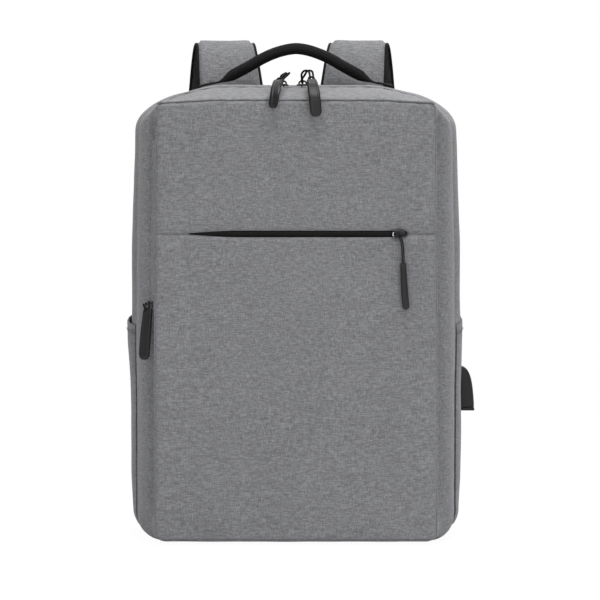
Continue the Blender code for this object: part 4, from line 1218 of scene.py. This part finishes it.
def strap(tag, sign):
    """Grey cloth on the loop's outside, quilted mesh on its inside, piping on both edges."""
    body, node = "strap_" + tag[0], "strap_pad_" + tag
    edge_run = 5.5
    line = resample([(sign * x - 4.0 * float(smooth01((z - 290) / 90)), y, z, width, thickness)
                     for y, z, x, width, thickness in STRAP_LINE], 3.2)
    points, widths, thicks = line[:, :3], line[:, 3], line[:, 4]
    ahead, across, out = frames(points, (1, 0, 0))
    out = -out  # now outward from the loop
    count = len(points)
    apex = int(np.argmax(points[:, 2]))
    run = arc_lengths(points)
    shares = np.linspace(-1, 1, 25)
    outer, inner = [], []
    for i in range(count):
        half = widths[i] / 2
        lift = thicks[i] / 2 * (0.45 + 0.55 * float(smooth01(min(run[i], run[-1] - run[i]) / 14.0)))
        seam = (run[i] - QUILT_START) % QUILT_PITCH
        quilt = 0.0
        if QUILT_START < run[i] < run[-1] - 30:
            quilt = 1.5 * math.exp(-(min(seam, QUILT_PITCH - seam) / 2.6) ** 2)
        outer_row, inner_row = [], []
        for a in shares:
            edge = (1 - abs(a)) * half / edge_run
            full = float(smooth01(edge))
            base = points[i] + across[i] * a * (half - 0.6)
            hump = lift * rise_from_edge(edge)
            wave = 0.35 * ripple(base[0], base[1] * 2, base[2], 26, 2.2) * full
            outer_row.append(base + out[i] * (hump + wave))
            inner_row.append(base - out[i] * (hump - quilt * full + 0.3 * wave))
        outer.append(outer_row)
        inner.append(inner_row)
    top = sheet("strap_%s_outer" % tag, outer, GREY, angle=60)
    low = sheet("strap_%s_inner" % tag, inner, MESH, angle=60)
    for ob, way in ((top, 1), (low, -1)):
        face_along(ob, out[apex] * way, apex * (len(shares) - 1) + len(shares) // 2)
        thicken(ob, 0.9)
    place(top, body, "shell_fabric", node)
    place(low, body, "air_mesh", node)

    def nearest_out(places):
        return np.array([out[int(np.argmin(np.sum((points - p) ** 2, axis=1)))] for p in places])

    for side, label in ((-1, "a"), (1, "b")):
        path = [points[i] + across[i] * side * (widths[i] / 2 - 0.3) for i in range(count)]
        place(cord("strap_%s_piping_%s" % (tag, label), path, 1.35, TAPE, step=3.0), body,
              "webbing", node)
        path = [points[i] + across[i] * side * (widths[i] / 2 - 4.4)
                + out[i] * (thicks[i] / 2 * rise_from_edge(3.8 / edge_run))
                for i in range(4, count - 4, 2)]
        place(stitches("strap_%s_stitch_%s" % (tag, label), path, nearest_out, THREAD, pitch=3.4,
                       length=2.5, lift=0.2), body, "shell_fabric")
    # binding across the lower end
    end, end_width = points[-1], widths[-1]
    path = [end + across[-1] * a for a in (-end_width / 2 - 1, -end_width * 0.2, end_width * 0.2,
                                           end_width / 2 + 1)]
    place(ribbon("strap_%s_end" % tag, path, 9.0, 5.2, TAPE, side=ahead[-1], step=2.5, across=4),
          body, "webbing", node)
    # webbing sewn along the strap's outside; 999 rules out the points before the apex
    first = int(np.argmin(np.abs(points[:, 2] - 262) + (np.arange(count) < apex) * 999))
    path = [points[i] + out[i] * (thicks[i] / 2 + 0.9) for i in range(first, count - 3, 4)
            if points[i][2] > 176]
    place(ribbon("strap_%s_overlay" % tag, path, WEBBING_WIDTH, 1.5, WEB, across=6, edge=0.4),
          body, "webbing")
    rows = [stitches("overlay_stitch", [point + (side * 10.4, 0, 0) for point in path],
                     nearest_out, DARK_THREAD, pitch=3.0, radius=0.3, lift=0.75)
            for side in (-1, 1)]
    place(joined("strap_%s_overlay_stitching" % tag, rows), body, "webbing")
    # short piece that bends where the strap is sewn to the yoke
    path = [(points[0][0], y, z) for y, z in ((69.4, 381.0), (70.0, 386.0), (70.7, 391.0),
                                              (71.4, 395.6), (72.2, 400.5))]
    root = ribbon("strap_%s_root" % tag, path, widths[0] + 1.2, lambda share: 3.4 + 4.4 * share,
                  GREY, step=1.6, across=10, edge=0.5)
    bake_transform(root)


def webbing(name, path, step):
    return ribbon(name, path, WEBBING_WIDTH, WEBBING_THICK, WEB, step=step, across=6, edge=0.4)


def strap_webbing(tag, sign):
    """Tab, webbing and tail at the ladder lock."""
    body, tail = "strap_" + tag[0], "tail_" + tag[0]
    x = sign * BUCKLE_X
    low, high = box_of("ladder_lock_" + tag)
    lock_y = (low[1] + high[1]) / 2
    # tab doubled round the lock's top bar: y from the lock's middle, z
    tab = ((2.9, 151.5), (2.9, 145), (2.9, 140), (2.3, 136.9), (1.2, 135.5), (0, 135.0),
           (-1.2, 135.5), (-2.3, 136.9), (-2.9, 140), (-2.9, 145), (-2.9, 151.5))
    ob = webbing("strap_%s_tab" % tag, [(x, lock_y + y, z) for y, z in tab], step=1.0)
    place(ob, body, "webbing", "strap_tab_" + tag)
    # from the wing up to the lock, then round its lower bar
    rise = [(sign * a, y, z) for a, y, z in ((WING_X, 70.4, 36.0), (WING_X, 71.4, 43.0),
                                             (117.5, 76, 58), (109, 86.5, 84), (97.5, 96.6, 103))]
    turn = ((-2.9, 112), (-2.9, 121), (-2.9, 127.5), (-2.3, 130.6), (-1.2, 132.0), (0, 132.5),
            (1.2, 132.0), (2.3, 130.6), (2.9, 127.5), (2.9, 122.6))
    ob = webbing("strap_%s_webbing" % tag, rise + [(x, lock_y + y, z) for y, z in turn], step=1.6)
    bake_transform(ob)
    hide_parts("strap_webbing_" + tag)
    low, high = box_of("strap_tail_" + tag)
    tail_y = (low[1] + high[1]) / 2
    path = ((0, high[2] + 3), (0, 112), (0.6, 96), (0.2, 80), (0, 66))
    ob = webbing("strap_%s_tail" % tag, [(x, tail_y + y, z) for y, z in path], step=2.4)
    place(ob, tail, "webbing", "strap_tail_" + tag)
    hem = ((0.9, 77), (1.1, 72), (0.9, 66.6))
    ob = webbing("strap_%s_tail_hem" % tag, [(x, tail_y + y, z) for y, z in hem], step=2.0)
    place(ob, tail, "webbing")
    ob = stitches("strap_%s_tail_stitch" % tag,
                  [(x - 10.5 + 3 * k, tail_y + 1.8, 75.0) for k in range(8)], (0, 1, 0),
                  DARK_THREAD, pitch=3.0, radius=0.3, lift=-0.1)
    place(ob, tail, "webbing")


def strap_wing(tag, sign):
    """Sewn wing at the bag's lower corner."""
    middle = sign * WING_X
    rows = []
    for z, inner, outer, y in WING_ROWS:
        start, end = (inner, outer) if sign > 0 else (-outer, -inner)
        rows.append([(middle + x, y + 0.5 * (1 - (2 * k / 8 - 1) ** 2), z)
                     for k, x in enumerate(np.linspace(start, end, 9))])
    wing = sheet("strap_wing_%s_cloth" % tag, rows, GREY, angle=50)
    face_along(wing, (0, 1, 0), 10)
    thicken(wing, 1.9)
    bevel(wing, 0.5)
    place(wing, "rear", "shell_fabric", "strap_wing_" + tag)
    rows = []
    for (xa, za), (xb, zb) in WING_SEAMS:
        count = int(math.hypot(xb - xa, zb - za) / 2.8) + 1
        line = np.linspace((middle + xa, 69.2, za), (middle + xb, 69.2, zb), count)
        rows.append(stitches("wing_stitch", line, (0, 1, 0), DARK_THREAD, length=2.0, radius=0.3))
    place(joined("strap_wing_%s_stitching" % tag, rows), "rear", "shell_fabric")


for tag, sign in SIDES:
    strap(tag, sign)
    strap_webbing(tag, sign)
    strap_wing(tag, sign)


# ------------------------------------------------------------------ side pockets
POCKET_Y0, POCKET_Y1 = 4.5, 42.5
POCKET_Z0, POCKET_Z1 = 9.5, 190


def side_face(y, z):
    """Half width of the rear body's side at depth y and height z."""
    half, radius = float(curve(y, HALF_WIDTH)), float(curve(y, BASE_RADIUS))
    down = float(curve(y, BASE_HEIGHT)) + radius - z
    if down > 0:
        half -= radius - math.sqrt(max(0.0, radius * radius - min(down, radius) ** 2))
    return half * float(taper(z)) + float(belly(y, z))


def side_pocket(tag, sign):
    """Gathered cloth with a bound mouth that rises to the back."""
    gap = 1.5 if sign < 0 else -0.9
    rows = []
    for z in (*np.linspace(POCKET_Z0, 172, 50), *np.linspace(175, POCKET_Z1, 9)):
        v = (z - POCKET_Z0) / (POCKET_Z1 - POCKET_Z0)
        row = []
        for y in np.linspace(POCKET_Y0, POCKET_Y1, 34):
            u = (y - POCKET_Y0) / (POCKET_Y1 - POCKET_Y0)
            arch = math.sin(math.pi * u) ** 0.55
            fullness = 0.45 + 0.55 * math.sin(math.pi * min(1, v * 0.95)) ** 0.8
            lift = (0.3 + 2.3 * arch * float(smooth01(v * 4)) * fullness
                    + gap * float(smooth01((v - 0.55) / 0.45)) * arch)
            gathers = (0.42 * math.sin(y * 1.55 + 0.7 * math.sin(z / 9.0))
                       * float(smooth01((v - 0.8) / 0.2)) * arch)
            sag = 0.5 * ripple(sign * 140, y * 1.4, z, 30, 6.1) * arch
            height = z + 6.0 * u * float(smooth01((v - 0.5) / 0.5))
            row.append((sign * (side_face(y, height) + lift + gathers + sag), y, height))
        rows.append(row)
    foot = [(x - sign * 1.2, y, z - 0.6) for x, y, z in rows[0]]  # turned under
    ob = sheet("side_pocket_%s_cloth" % tag, [foot] + rows, [GREY, LINING], angle=60)
    face_away(ob, (0, 24, 100))
    thicken(ob, 1.0, inside=LINING)
    place(ob, "rear", "shell_fabric", "side_pocket_" + tag)
    mouth = rows[-1]
    ob = ribbon("side_pocket_%s_mouth" % tag, [(x - sign * 0.3, y, z - 1.4) for x, y, z in mouth],
                5.0, 1.5, GREY, side=(0, 0, 1), step=1.6, across=6, edge=0.5)
    place(ob, "rear", "webbing", "pocket_binding_" + tag)
    ob = stitches("side_pocket_%s_stitch" % tag,
                  [(x + sign * 0.75, y, z - 6.4) for x, y, z in mouth], (sign, 0, 0), DARK_THREAD,
                  pitch=2.6, length=1.9, radius=0.26, lift=0.1)
    place(ob, "rear", "shell_fabric")
    for end, label in ((0, "f"), (-1, "b")):
        line = [np.array(row[end]) + (sign * 0.35, 0, 0) for row in rows[::3]]
        place(cord("side_pocket_%s_seam_%s" % (tag, label), line, 0.5, GREY, step=3.0, sides=8),
              "rear", "shell_fabric")


for tag, sign in SIDES:
    side_pocket(tag, sign)


# ------------------------------------------------------------------ back pads
PAD_RADIUS = 22
CLOTH_FRAMES = 20
PAD_GROWTH = 3.2  # furthest the cloth may be blown out


def rounded(x0, x1, z0, z1, radius, steps=8):
    """Rounded rectangle, with steps points on each corner."""
    points = []
    for x, z, start in ((x1 - radius, z0 + radius, -90), (x1 - radius, z1 - radius, 0),
                        (x0 + radius, z1 - radius, 90), (x0 + radius, z0 + radius, 180)):
        for k in range(steps):
            t = math.radians(start + k * 90 / (steps - 1))
            points.append((x + radius * math.cos(t), z + radius * math.sin(t)))
    return points


def inflate(ob, sewn_y):
    """Blows the pad up as cloth, with everything in front of sewn_y held still."""
    before = np.array([v.co[:] for v in ob.data.vertices])
    group = ob.vertex_groups.new(name="sewn")
    for v in ob.data.vertices:
        group.add([v.index], 1.0 if v.co.y < sewn_y * MM else 0.0, "REPLACE")
    cloth = ob.modifiers.new("cloth", "CLOTH")
    settings = cloth.settings
    settings.quality = 4
    settings.mass = 0.3
    settings.tension_stiffness = 12
    settings.compression_stiffness = 12
    settings.bending_stiffness = 0.6
    settings.use_pressure = True
    settings.uniform_pressure_force = 4.0
    settings.vertex_group_mass = "sewn"
    settings.effector_weights.gravity = 0.0
    cloth.collision_settings.use_collision = False
    cloth.collision_settings.use_self_collision = False
    scene = bpy.context.scene
    scene.frame_start, scene.frame_end = 1, CLOTH_FRAMES
    cloth.point_cache.frame_start, cloth.point_cache.frame_end = 1, CLOTH_FRAMES
    for i in range(1, CLOTH_FRAMES + 1):
        scene.frame_set(i)
    deps = bpy.context.evaluated_depsgraph_get()
    after = np.array([v.co[:] for v in ob.evaluated_get(deps).data.vertices])
    ob.modifiers.clear()
    scene.frame_set(1)
    moved = after - before
    length = np.linalg.norm(moved, axis=1)
    share = np.minimum(1.0, PAD_GROWTH * MM / np.maximum(length, 1e-9))
    for v, position in zip(ob.data.vertices, before + moved * share[:, None]):
        v.co = position
    ob.vertex_groups.clear()


def puffed_pad(node, channels):
    """Mesh pad inside the node's box: a remeshed block blown up, then drawn in along its sewn
    channels, each a function that gives the distance from a line at (x, z)."""
    low, high = box_of(node)
    y0, y1 = low[1] - 0.2, high[1]
    loops = []
    for share, inset in ((0.0, 1.0), (0.5, 1.2), (0.72, 2.6), (0.8, 5.5)):
        corners = rounded(low[0] + inset, high[0] - inset, low[2] + inset, high[2] - inset,
                          PAD_RADIUS - inset)
        loops.append([(x, y0 + (y1 - y0) * share, z) for x, z in corners])
    ob = block(node + "_mesh", loops, MESH)
    modify(ob, "REMESH", mode="VOXEL", voxel_size=4.2 * MM, use_smooth_shade=True)
    inflate(ob, sewn_y=y0 + 1.6)
    modify(ob, "SUBSURF", levels=1, render_levels=1)
    middle_y = (y0 + y1) / 2
    for v in ob.data.vertices:
        x, y, z = v.co * 1000
        if y > middle_y:
            near = math.exp(-(min(abs(channel(x, z)) for channel in channels) / 3.4) ** 2)
            v.co.y -= 3.0 * near * MM * min(1.0, (y - middle_y) / 2.0)
            v.co.y += 0.25 * ripple(x, 0, z, 31, 8.0) * MM
    ob.data.shade_smooth()
    place(ob, "rear", "air_mesh", node)


def slanted(start, slope=0.35):
    """Channel that climbs to both sides from start at x = 0."""
    return lambda x, z: (z - start - slope * abs(x)) / math.sqrt(1 + slope * slope)


def pad_piping(node):
    low, high = box_of(node)
    corners = rounded(low[0] - 0.3, high[0] + 0.3, low[2] - 0.3, high[2] + 0.3, PAD_RADIUS, 10)
    corners.append(corners[0])
    path = [corners[0]]
    for a, b in zip(corners, corners[1:]):
        count = max(1, int(math.hypot(b[0] - a[0], b[1] - a[1]) / 6))
        path += [(a[0] + (b[0] - a[0]) * i / count, a[1] + (b[1] - a[1]) * i / count)
                 for i in range(1, count + 1)]
    ob = cord(node + "_piping", [(x, low[1] + 0.9, z) for x, z in path], 1.5, TAPE, step=4.0)
    place(ob, "rear", "webbing")


back_channels = [slanted(196 + 44 * k) for k in range(5)]
puffed_pad("back_pad_left", back_channels)
puffed_pad("back_pad_right", back_channels)
puffed_pad("lumbar_pad", [lambda x, z: x + 56, lambda x, z: x - 56])
for node in ("back_pad_left", "back_pad_right", "lumbar_pad"):
    pad_piping(node)


# ------------------------------------------------------------------ band and yoke on the back
def trolley_band():
    """Wide band across the lower back."""
    low, high = box_of("luggage_band")
    middle_z = (low[2] + high[2]) / 2
    line = mirrored([(-123, 66.8), (-118.5, 68.6), (-113, 74.6), (-104, 77.0), (-80, 78.0),
                     (-40, 78.6), (0, 78.8)])  # x, y
    ob = ribbon("trolley_band", [(x, y, middle_z) for x, y in line], 62.0, 1.7, GREY,
                side=(0, 0, 1), across=16, edge=0.5)
    place(ob, "rear", "shell_fabric", "luggage_band")
    rows = [stitches("band_stitch", [(x, y + 0.9, middle_z + up) for x, y in line[2:-2]],
                     (0, 1, 0), THREAD, pitch=3.4, length=2.5) for up in (-28.2, 28.2)]
    rows += [stitches("band_end_stitch", [(sign * 121.0, 68.4, middle_z + up)
                                          for up in np.linspace(-29, 29, 18)],
                      (sign * 0.35, 1, 0), THREAD, length=2.5, lift=0.4) for sign in (-1, 1)]
    place(joined("trolley_band_stitching", rows), "rear", "shell_fabric")


def strap_yoke():
    """Cloth over the strap seam."""
    low, high = box_of("strap_yoke")
    rows = []
    for z in np.linspace(low[2] - 1, high[2] + 1, 9):
        bulge = math.sin(math.pi * ((z - low[2] + 1) / (high[2] - low[2] + 2)))
        rows.append([(x, 65.6 + 3.4 * bulge ** 0.5 + 0.25 * ripple(x, 0, z, 18, 1.1) * bulge, z)
                     for x in np.linspace(low[0], high[0], 60)])
    ob = sheet("strap_yoke_cloth", rows, GREY, angle=60)
    face_along(ob, (0, 1, 0), 200)
    thicken(ob, 1.4)
    place(ob, "rear", "shell_fabric", "strap_yoke")
    rows = [stitches("yoke_stitch", np.linspace((low[0] + 3, 68.7, z), (high[0] - 3, 68.7, z), 56),
                     (0, 1, 0), THREAD, length=2.5) for z in (low[2] + 2.6, high[2] - 2.6)]
    place(joined("strap_yoke_stitching", rows), "rear", "shell_fabric")


trolley_band()
strap_yoke()

# ------------------------------------------------------------------ port on the right side
HOOD_ROWS = (  # share of the height, share of the reach
    (0.0, 1.0), (0.1, 0.99), (0.25, 0.965), (0.42, 0.925), (0.56, 0.88), (0.68, 0.82),
    (0.78, 0.745), (0.86, 0.655), (0.92, 0.55), (0.96, 0.43), (0.985, 0.29), (0.998, 0.13),
    (1.0, 0.02))


def port():
    """Moulded hood open below, its sewn flange and the lead into the bag."""
    low, high = box_of("usb_hood")
    wall_x, middle_y = low[0], (low[1] + high[1]) / 2
    half, reach = (high[1] - low[1]) / 2, high[0] - low[0]
    base_z, top_z = low[2], high[2]
    rows = []
    for up, out in HOOD_ROWS:
        depth = out * (reach - 0.2)
        wide = half * (1 - 0.07 * up ** 2 - 0.10 * float(smooth01((up - 0.75) / 0.25)))
        rows.append([(wall_x + 0.2 + depth * abs(math.cos(t)) ** 0.5,
                      middle_y + wide * math.copysign(abs(math.sin(t)) ** 0.62, t),
                      base_z + up * (top_z - base_z))
                     for t in np.linspace(-math.pi / 2, math.pi / 2, 33)])
    hood = sheet("port_hood", rows, HOOD, angle=75)
    face_away(hood, (wall_x + 3, middle_y, base_z + 12))
    thicken(hood, 1.7)
    bevel(hood, 0.35, angle=50)
    place(hood, "rear", "soft_rubber", "usb_hood")
    edge = rounded(middle_y - half - 2.6, middle_y + half + 2.6, base_z - 0.2, top_z + 2.8, 5, 6)
    middle_z = (base_z + top_z) / 2
    loops = [[(wall_x - 0.9, y, z) for y, z in edge],
             [(wall_x + 0.55, middle_y + (y - middle_y) * 0.97, (z - middle_z) * 0.985 + middle_z)
              for y, z in edge]]
    flange = block("port_flange", loops, HOOD, top_first=True)
    bevel(flange, 0.4)
    place(flange, "rear", "soft_rubber")
    seam = rounded(middle_y - half - 1.3, middle_y + half + 1.3, base_z + 1.2, top_z + 1.5, 4, 6)
    seam.append(seam[0])
    ob = stitches("port_flange_stitch", [(wall_x + 0.55, y, z) for y, z in seam], (1, 0, 0),
                  DARK_THREAD, pitch=2.2, length=1.6, radius=0.22)
    place(ob, "rear", "soft_rubber")
    path = [(wall_x + 6.0, middle_y, base_z + 15.9), (wall_x - 6, middle_y, base_z + 15.9),
            (wall_x - 11, 50, base_z + 17.5), (wall_x - 15, 44, base_z + 26), (128, 34, 150),
            (119, 31.6, 158), (110, 31.2, 162), (103, 31.0, 161), (99.6, 31.0, 156),
            (99, 31.0, 148), (99, 31.0, 139.6)]
    place(cord("port_lead", path, 1.5, CABLE, step=2.0, sides=12), "rear", "cable", "usb_cable")


port()


# ------------------------------------------------------------------ inside
def laptop_sleeve():
    """Padded sleeve with four sewn lines across it and a bound mouth."""
    low, high = box_of("laptop_sleeve")
    rows = []
    for z in np.linspace(low[2], high[2], 40):
        v = (z - low[2]) / (high[2] - low[2])
        seam = 1.1 * max(math.exp(-(((z - low[2] - k * 55) / 2.4) ** 2)) for k in range(1, 5))
        row = []
        for x in np.linspace(low[0], high[0], 40):
            u = 2 * (x - low[0]) / (high[0] - low[0]) - 1
            pillow = (1 - abs(u) ** 6) * (1 - abs(2 * v - 1) ** 8)
            y = low[1] + 1.4 - 1.6 * pillow + seam * pillow + 0.3 * ripple(x, 0, z, 40, 3)
            row.append((x, y, z))
        rows.append(row)
    ob = sheet("sleeve_padding", rows, LINING, angle=60)
    face_along(ob, (0, -1, 0), 700)
    thicken(ob, 4.6)
    place(ob, "rear", "lining", "laptop_sleeve")
    path = [(x, (low[1] + high[1]) / 2 - 0.2, high[2] - 2.0)
            for x in np.linspace(low[0] + 1, high[0] - 1, 9)]
    ob = ribbon("sleeve_binding", path, 9.0, 7.2, TAPE, side=(0, 0, 1), step=4.0, across=6,
                edge=0.6)
    place(ob, "rear", "webbing")


def sleeve_tab():
    path = [(0, y, z) for y, z in ((60.4, 330), (55.5, 322), (48, 315), (40.5, 309.5),
                                   (35.2, 304.5), (33.4, 299), (33.4, 286), (33.4, 268))]
    ob = ribbon("sleeve_tab_web", path, 38.0, 1.3, WEB, step=2.0, across=10, edge=0.4)
    place(ob, "sleeve_flap", "webbing", "sleeve_tab")
    seams = (((-16, 271.5), (16, 271.5), 12), ((-16, 284), (16, 284), 12),
             ((-16.5, 272), (-16.5, 284), 5), ((16.5, 272), (16.5, 284), 5))
    rows = [stitches("tab_stitch", [(x, 32.6, z) for x, z in np.linspace(start, end, count)],
                     (0, -1, 0), THREAD) for start, end, count in seams]
    place(joined("sleeve_tab_stitching", rows), "sleeve_flap", "webbing")


def flat_pocket(name, node, body, mat, slot, thickness, bulge, way):
    """Flat piece with a bound top edge; way is the Y direction it faces."""
    low, high = box_of(node)
    face_y = low[1] if way < 0 else high[1]
    rows = []
    for z in np.linspace(low[2], high[2], 22):
        v = (z - low[2]) / (high[2] - low[2])
        row = []
        for x in np.linspace(low[0], high[0], 24):
            u = 2 * (x - low[0]) / (high[0] - low[0]) - 1
            y = face_y - way * 0.8 + way * bulge * (1 - u * u) * (0.35 + 0.65 * v)
            row.append((x, y + 0.25 * ripple(x, 0, z, 24, 4), z))
        rows.append(row)
    ob = sheet(name, rows, mat, angle=60)
    face_along(ob, (0, way, 0), 200)
    thicken(ob, thickness)
    place(ob, body, slot, node)
    hem = ribbon(name + "_hem", [(x, y - way * 0.3, high[2] - 1.6) for x, y, _ in rows[-1]], 6.5,
                 2.2, TAPE, side=(0, 0, 1), step=4.0, across=4, edge=0.5)
    place(hem, body, "webbing")


laptop_sleeve()
sleeve_tab()
flat_pocket("organiser_backing", "organiser_panel", "front", LINING, "lining",
            thickness=2.2, bulge=0.4, way=1)
flat_pocket("organiser_mesh_pocket", "organiser_pocket", "front", POCKET_MESH, "air_mesh",
            thickness=0.9, bulge=1.0, way=1)
flat_pocket("power_pocket_mesh", "powerbank_pocket", "rear", POCKET_MESH, "air_mesh",
            thickness=0.9, bulge=1.2, way=-1)
flat_pocket("pocket_bag", "pocket_lining", "front", LINING, "lining",
            thickness=0.9, bulge=0.3, way=1)

# ------------------------------------------------------------------ finishes of the CAD's own nodes
FINISHES = {"zip_metal": BLACK_METAL, "steel": STEEL, "plastic": PLASTIC, "board": BOARD,
            "cable": CABLE, "soft_rubber": HOOD, "webbing": TAPE, "zip_tape": TAPE,
            "lining": LINING, "air_mesh": MESH, "shell_fabric": GREY}
for part in frame["record"]["subparts"]:
    ob = frame["nodes"].get(part["node"])
    if ob is not None:
        ob.data.materials.clear()
        ob.data.materials.append(FINISHES[part["material_slot"]])

# ------------------------------------------------------------------ floor, light and camera (metres)
FLOOR_HALF, FLOOR_CELLS, FLOOR_Z = 9.0, 12, -0.0008
LIGHTS = (  # name, place, target, size, power
    ("top", (0.1, -0.35, 2.2), (0, 0.02, 0.2), (1.6, 1.3), 78),
    ("front_right", (1.05, -2.6, 1.0), (0, 0, 0.22), (0.9, 1.2), 29),
    ("front_left", (-0.8, -2.7, 0.9), (0, 0, 0.22), (0.9, 1.2), 8.5),
    ("back", (0.5, 2.5, 1.3), (0, 0.1, 0.2), (2.0, 1.4), 34))
CAMERA_TARGET = Vector((0.0036, 0.0, 0.214))
CAMERA_RISE, CAMERA_DISTANCE = math.radians(4.5), 3.0


def floor():
    """White floor, almost clear to the camera, with a trace of contact shadow near the bag."""
    count = FLOOR_CELLS + 1
    at = [-FLOOR_HALF + 2 * FLOOR_HALF * i / FLOOR_CELLS for i in range(count)]
    faces = [(j * count + i, j * count + i + 1, (j + 1) * count + i + 1, (j + 1) * count + i)
             for j in range(FLOOR_CELLS) for i in range(FLOOR_CELLS)]
    mesh = bpy.data.meshes.new("floor")
    mesh.from_pydata([(x, y, FLOOR_Z) for y in at for x in at], [], faces)
    mesh.shade_smooth()
    ob = new_object("floor", mesh)
    m = Mat("pale_floor", rough=0.9, spec=0.1)
    m.color(m.mix(m.noise(scale=6), grey(0.86), grey(0.885)))
    mesh.materials.append(m.material)
    position = m.node("NewGeometry").outputs["Position"]
    distance = m.node("VectorMath", {0: position}, operation="LENGTH").outputs["Value"]
    fade = m.node("MapRange", {"Value": distance, "From Min": 0.25, "From Max": 1.1,
                               "To Min": 0.97, "To Max": 0.995}).outputs[0]
    ray = m.node("LightPath").outputs
    clear = m.math("MAXIMUM", m.times(ray["Is Camera Ray"], fade), ray["Is Shadow Ray"])
    glass = m.node("BsdfTransparent").outputs[0]
    mixed = m.node("MixShader", {0: clear, 1: m.shader.outputs[0], 2: glass}).outputs[0]
    m.tree.links.new(mixed, m.tree.nodes["Material Output"].inputs["Surface"])


def white_world():
    """White to the camera, dimmer as a light."""
    world = bpy.data.worlds.new("studio")
    bpy.context.scene.world = world
    world.use_nodes = True
    tree = world.node_tree
    background = tree.nodes["Background"]
    background.inputs[0].default_value = (1, 1, 1, 1)
    ray = tree.nodes.new("ShaderNodeLightPath")
    level = tree.nodes.new("ShaderNodeMapRange")
    level.inputs["To Min"].default_value = 0.36
    level.inputs["To Max"].default_value = 1.0
    tree.links.new(ray.outputs["Is Camera Ray"], level.inputs["Value"])
    tree.links.new(level.outputs[0], background.inputs[1])


def aim(ob, target):
    ob.rotation_euler = (Vector(target) - ob.location).to_track_quat("-Z", "Y").to_euler()


def lights():
    for name, at, target, size, power in LIGHTS:
        light = bpy.data.lights.new(name, "AREA")
        light.shape = "RECTANGLE"
        light.size, light.size_y = size
        light.energy = power
        ob = bpy.data.objects.new(name, light)
        ob.location = at
        aim(ob, target)
        COL.objects.link(ob)


def camera():
    data = bpy.data.cameras.new("camera")
    data.sensor_width = 36
    data.lens = 200
    data.clip_start = 0.05
    ob = new_object("camera", data)
    ob.location = CAMERA_TARGET + Vector((0, -math.cos(CAMERA_RISE) * CAMERA_DISTANCE,
                                          math.sin(CAMERA_RISE) * CAMERA_DISTANCE))
    aim(ob, CAMERA_TARGET)
    bpy.context.scene.camera = ob
    bpy.context.scene.view_settings.view_transform = "Standard"


floor()
white_world()
lights()
camera()
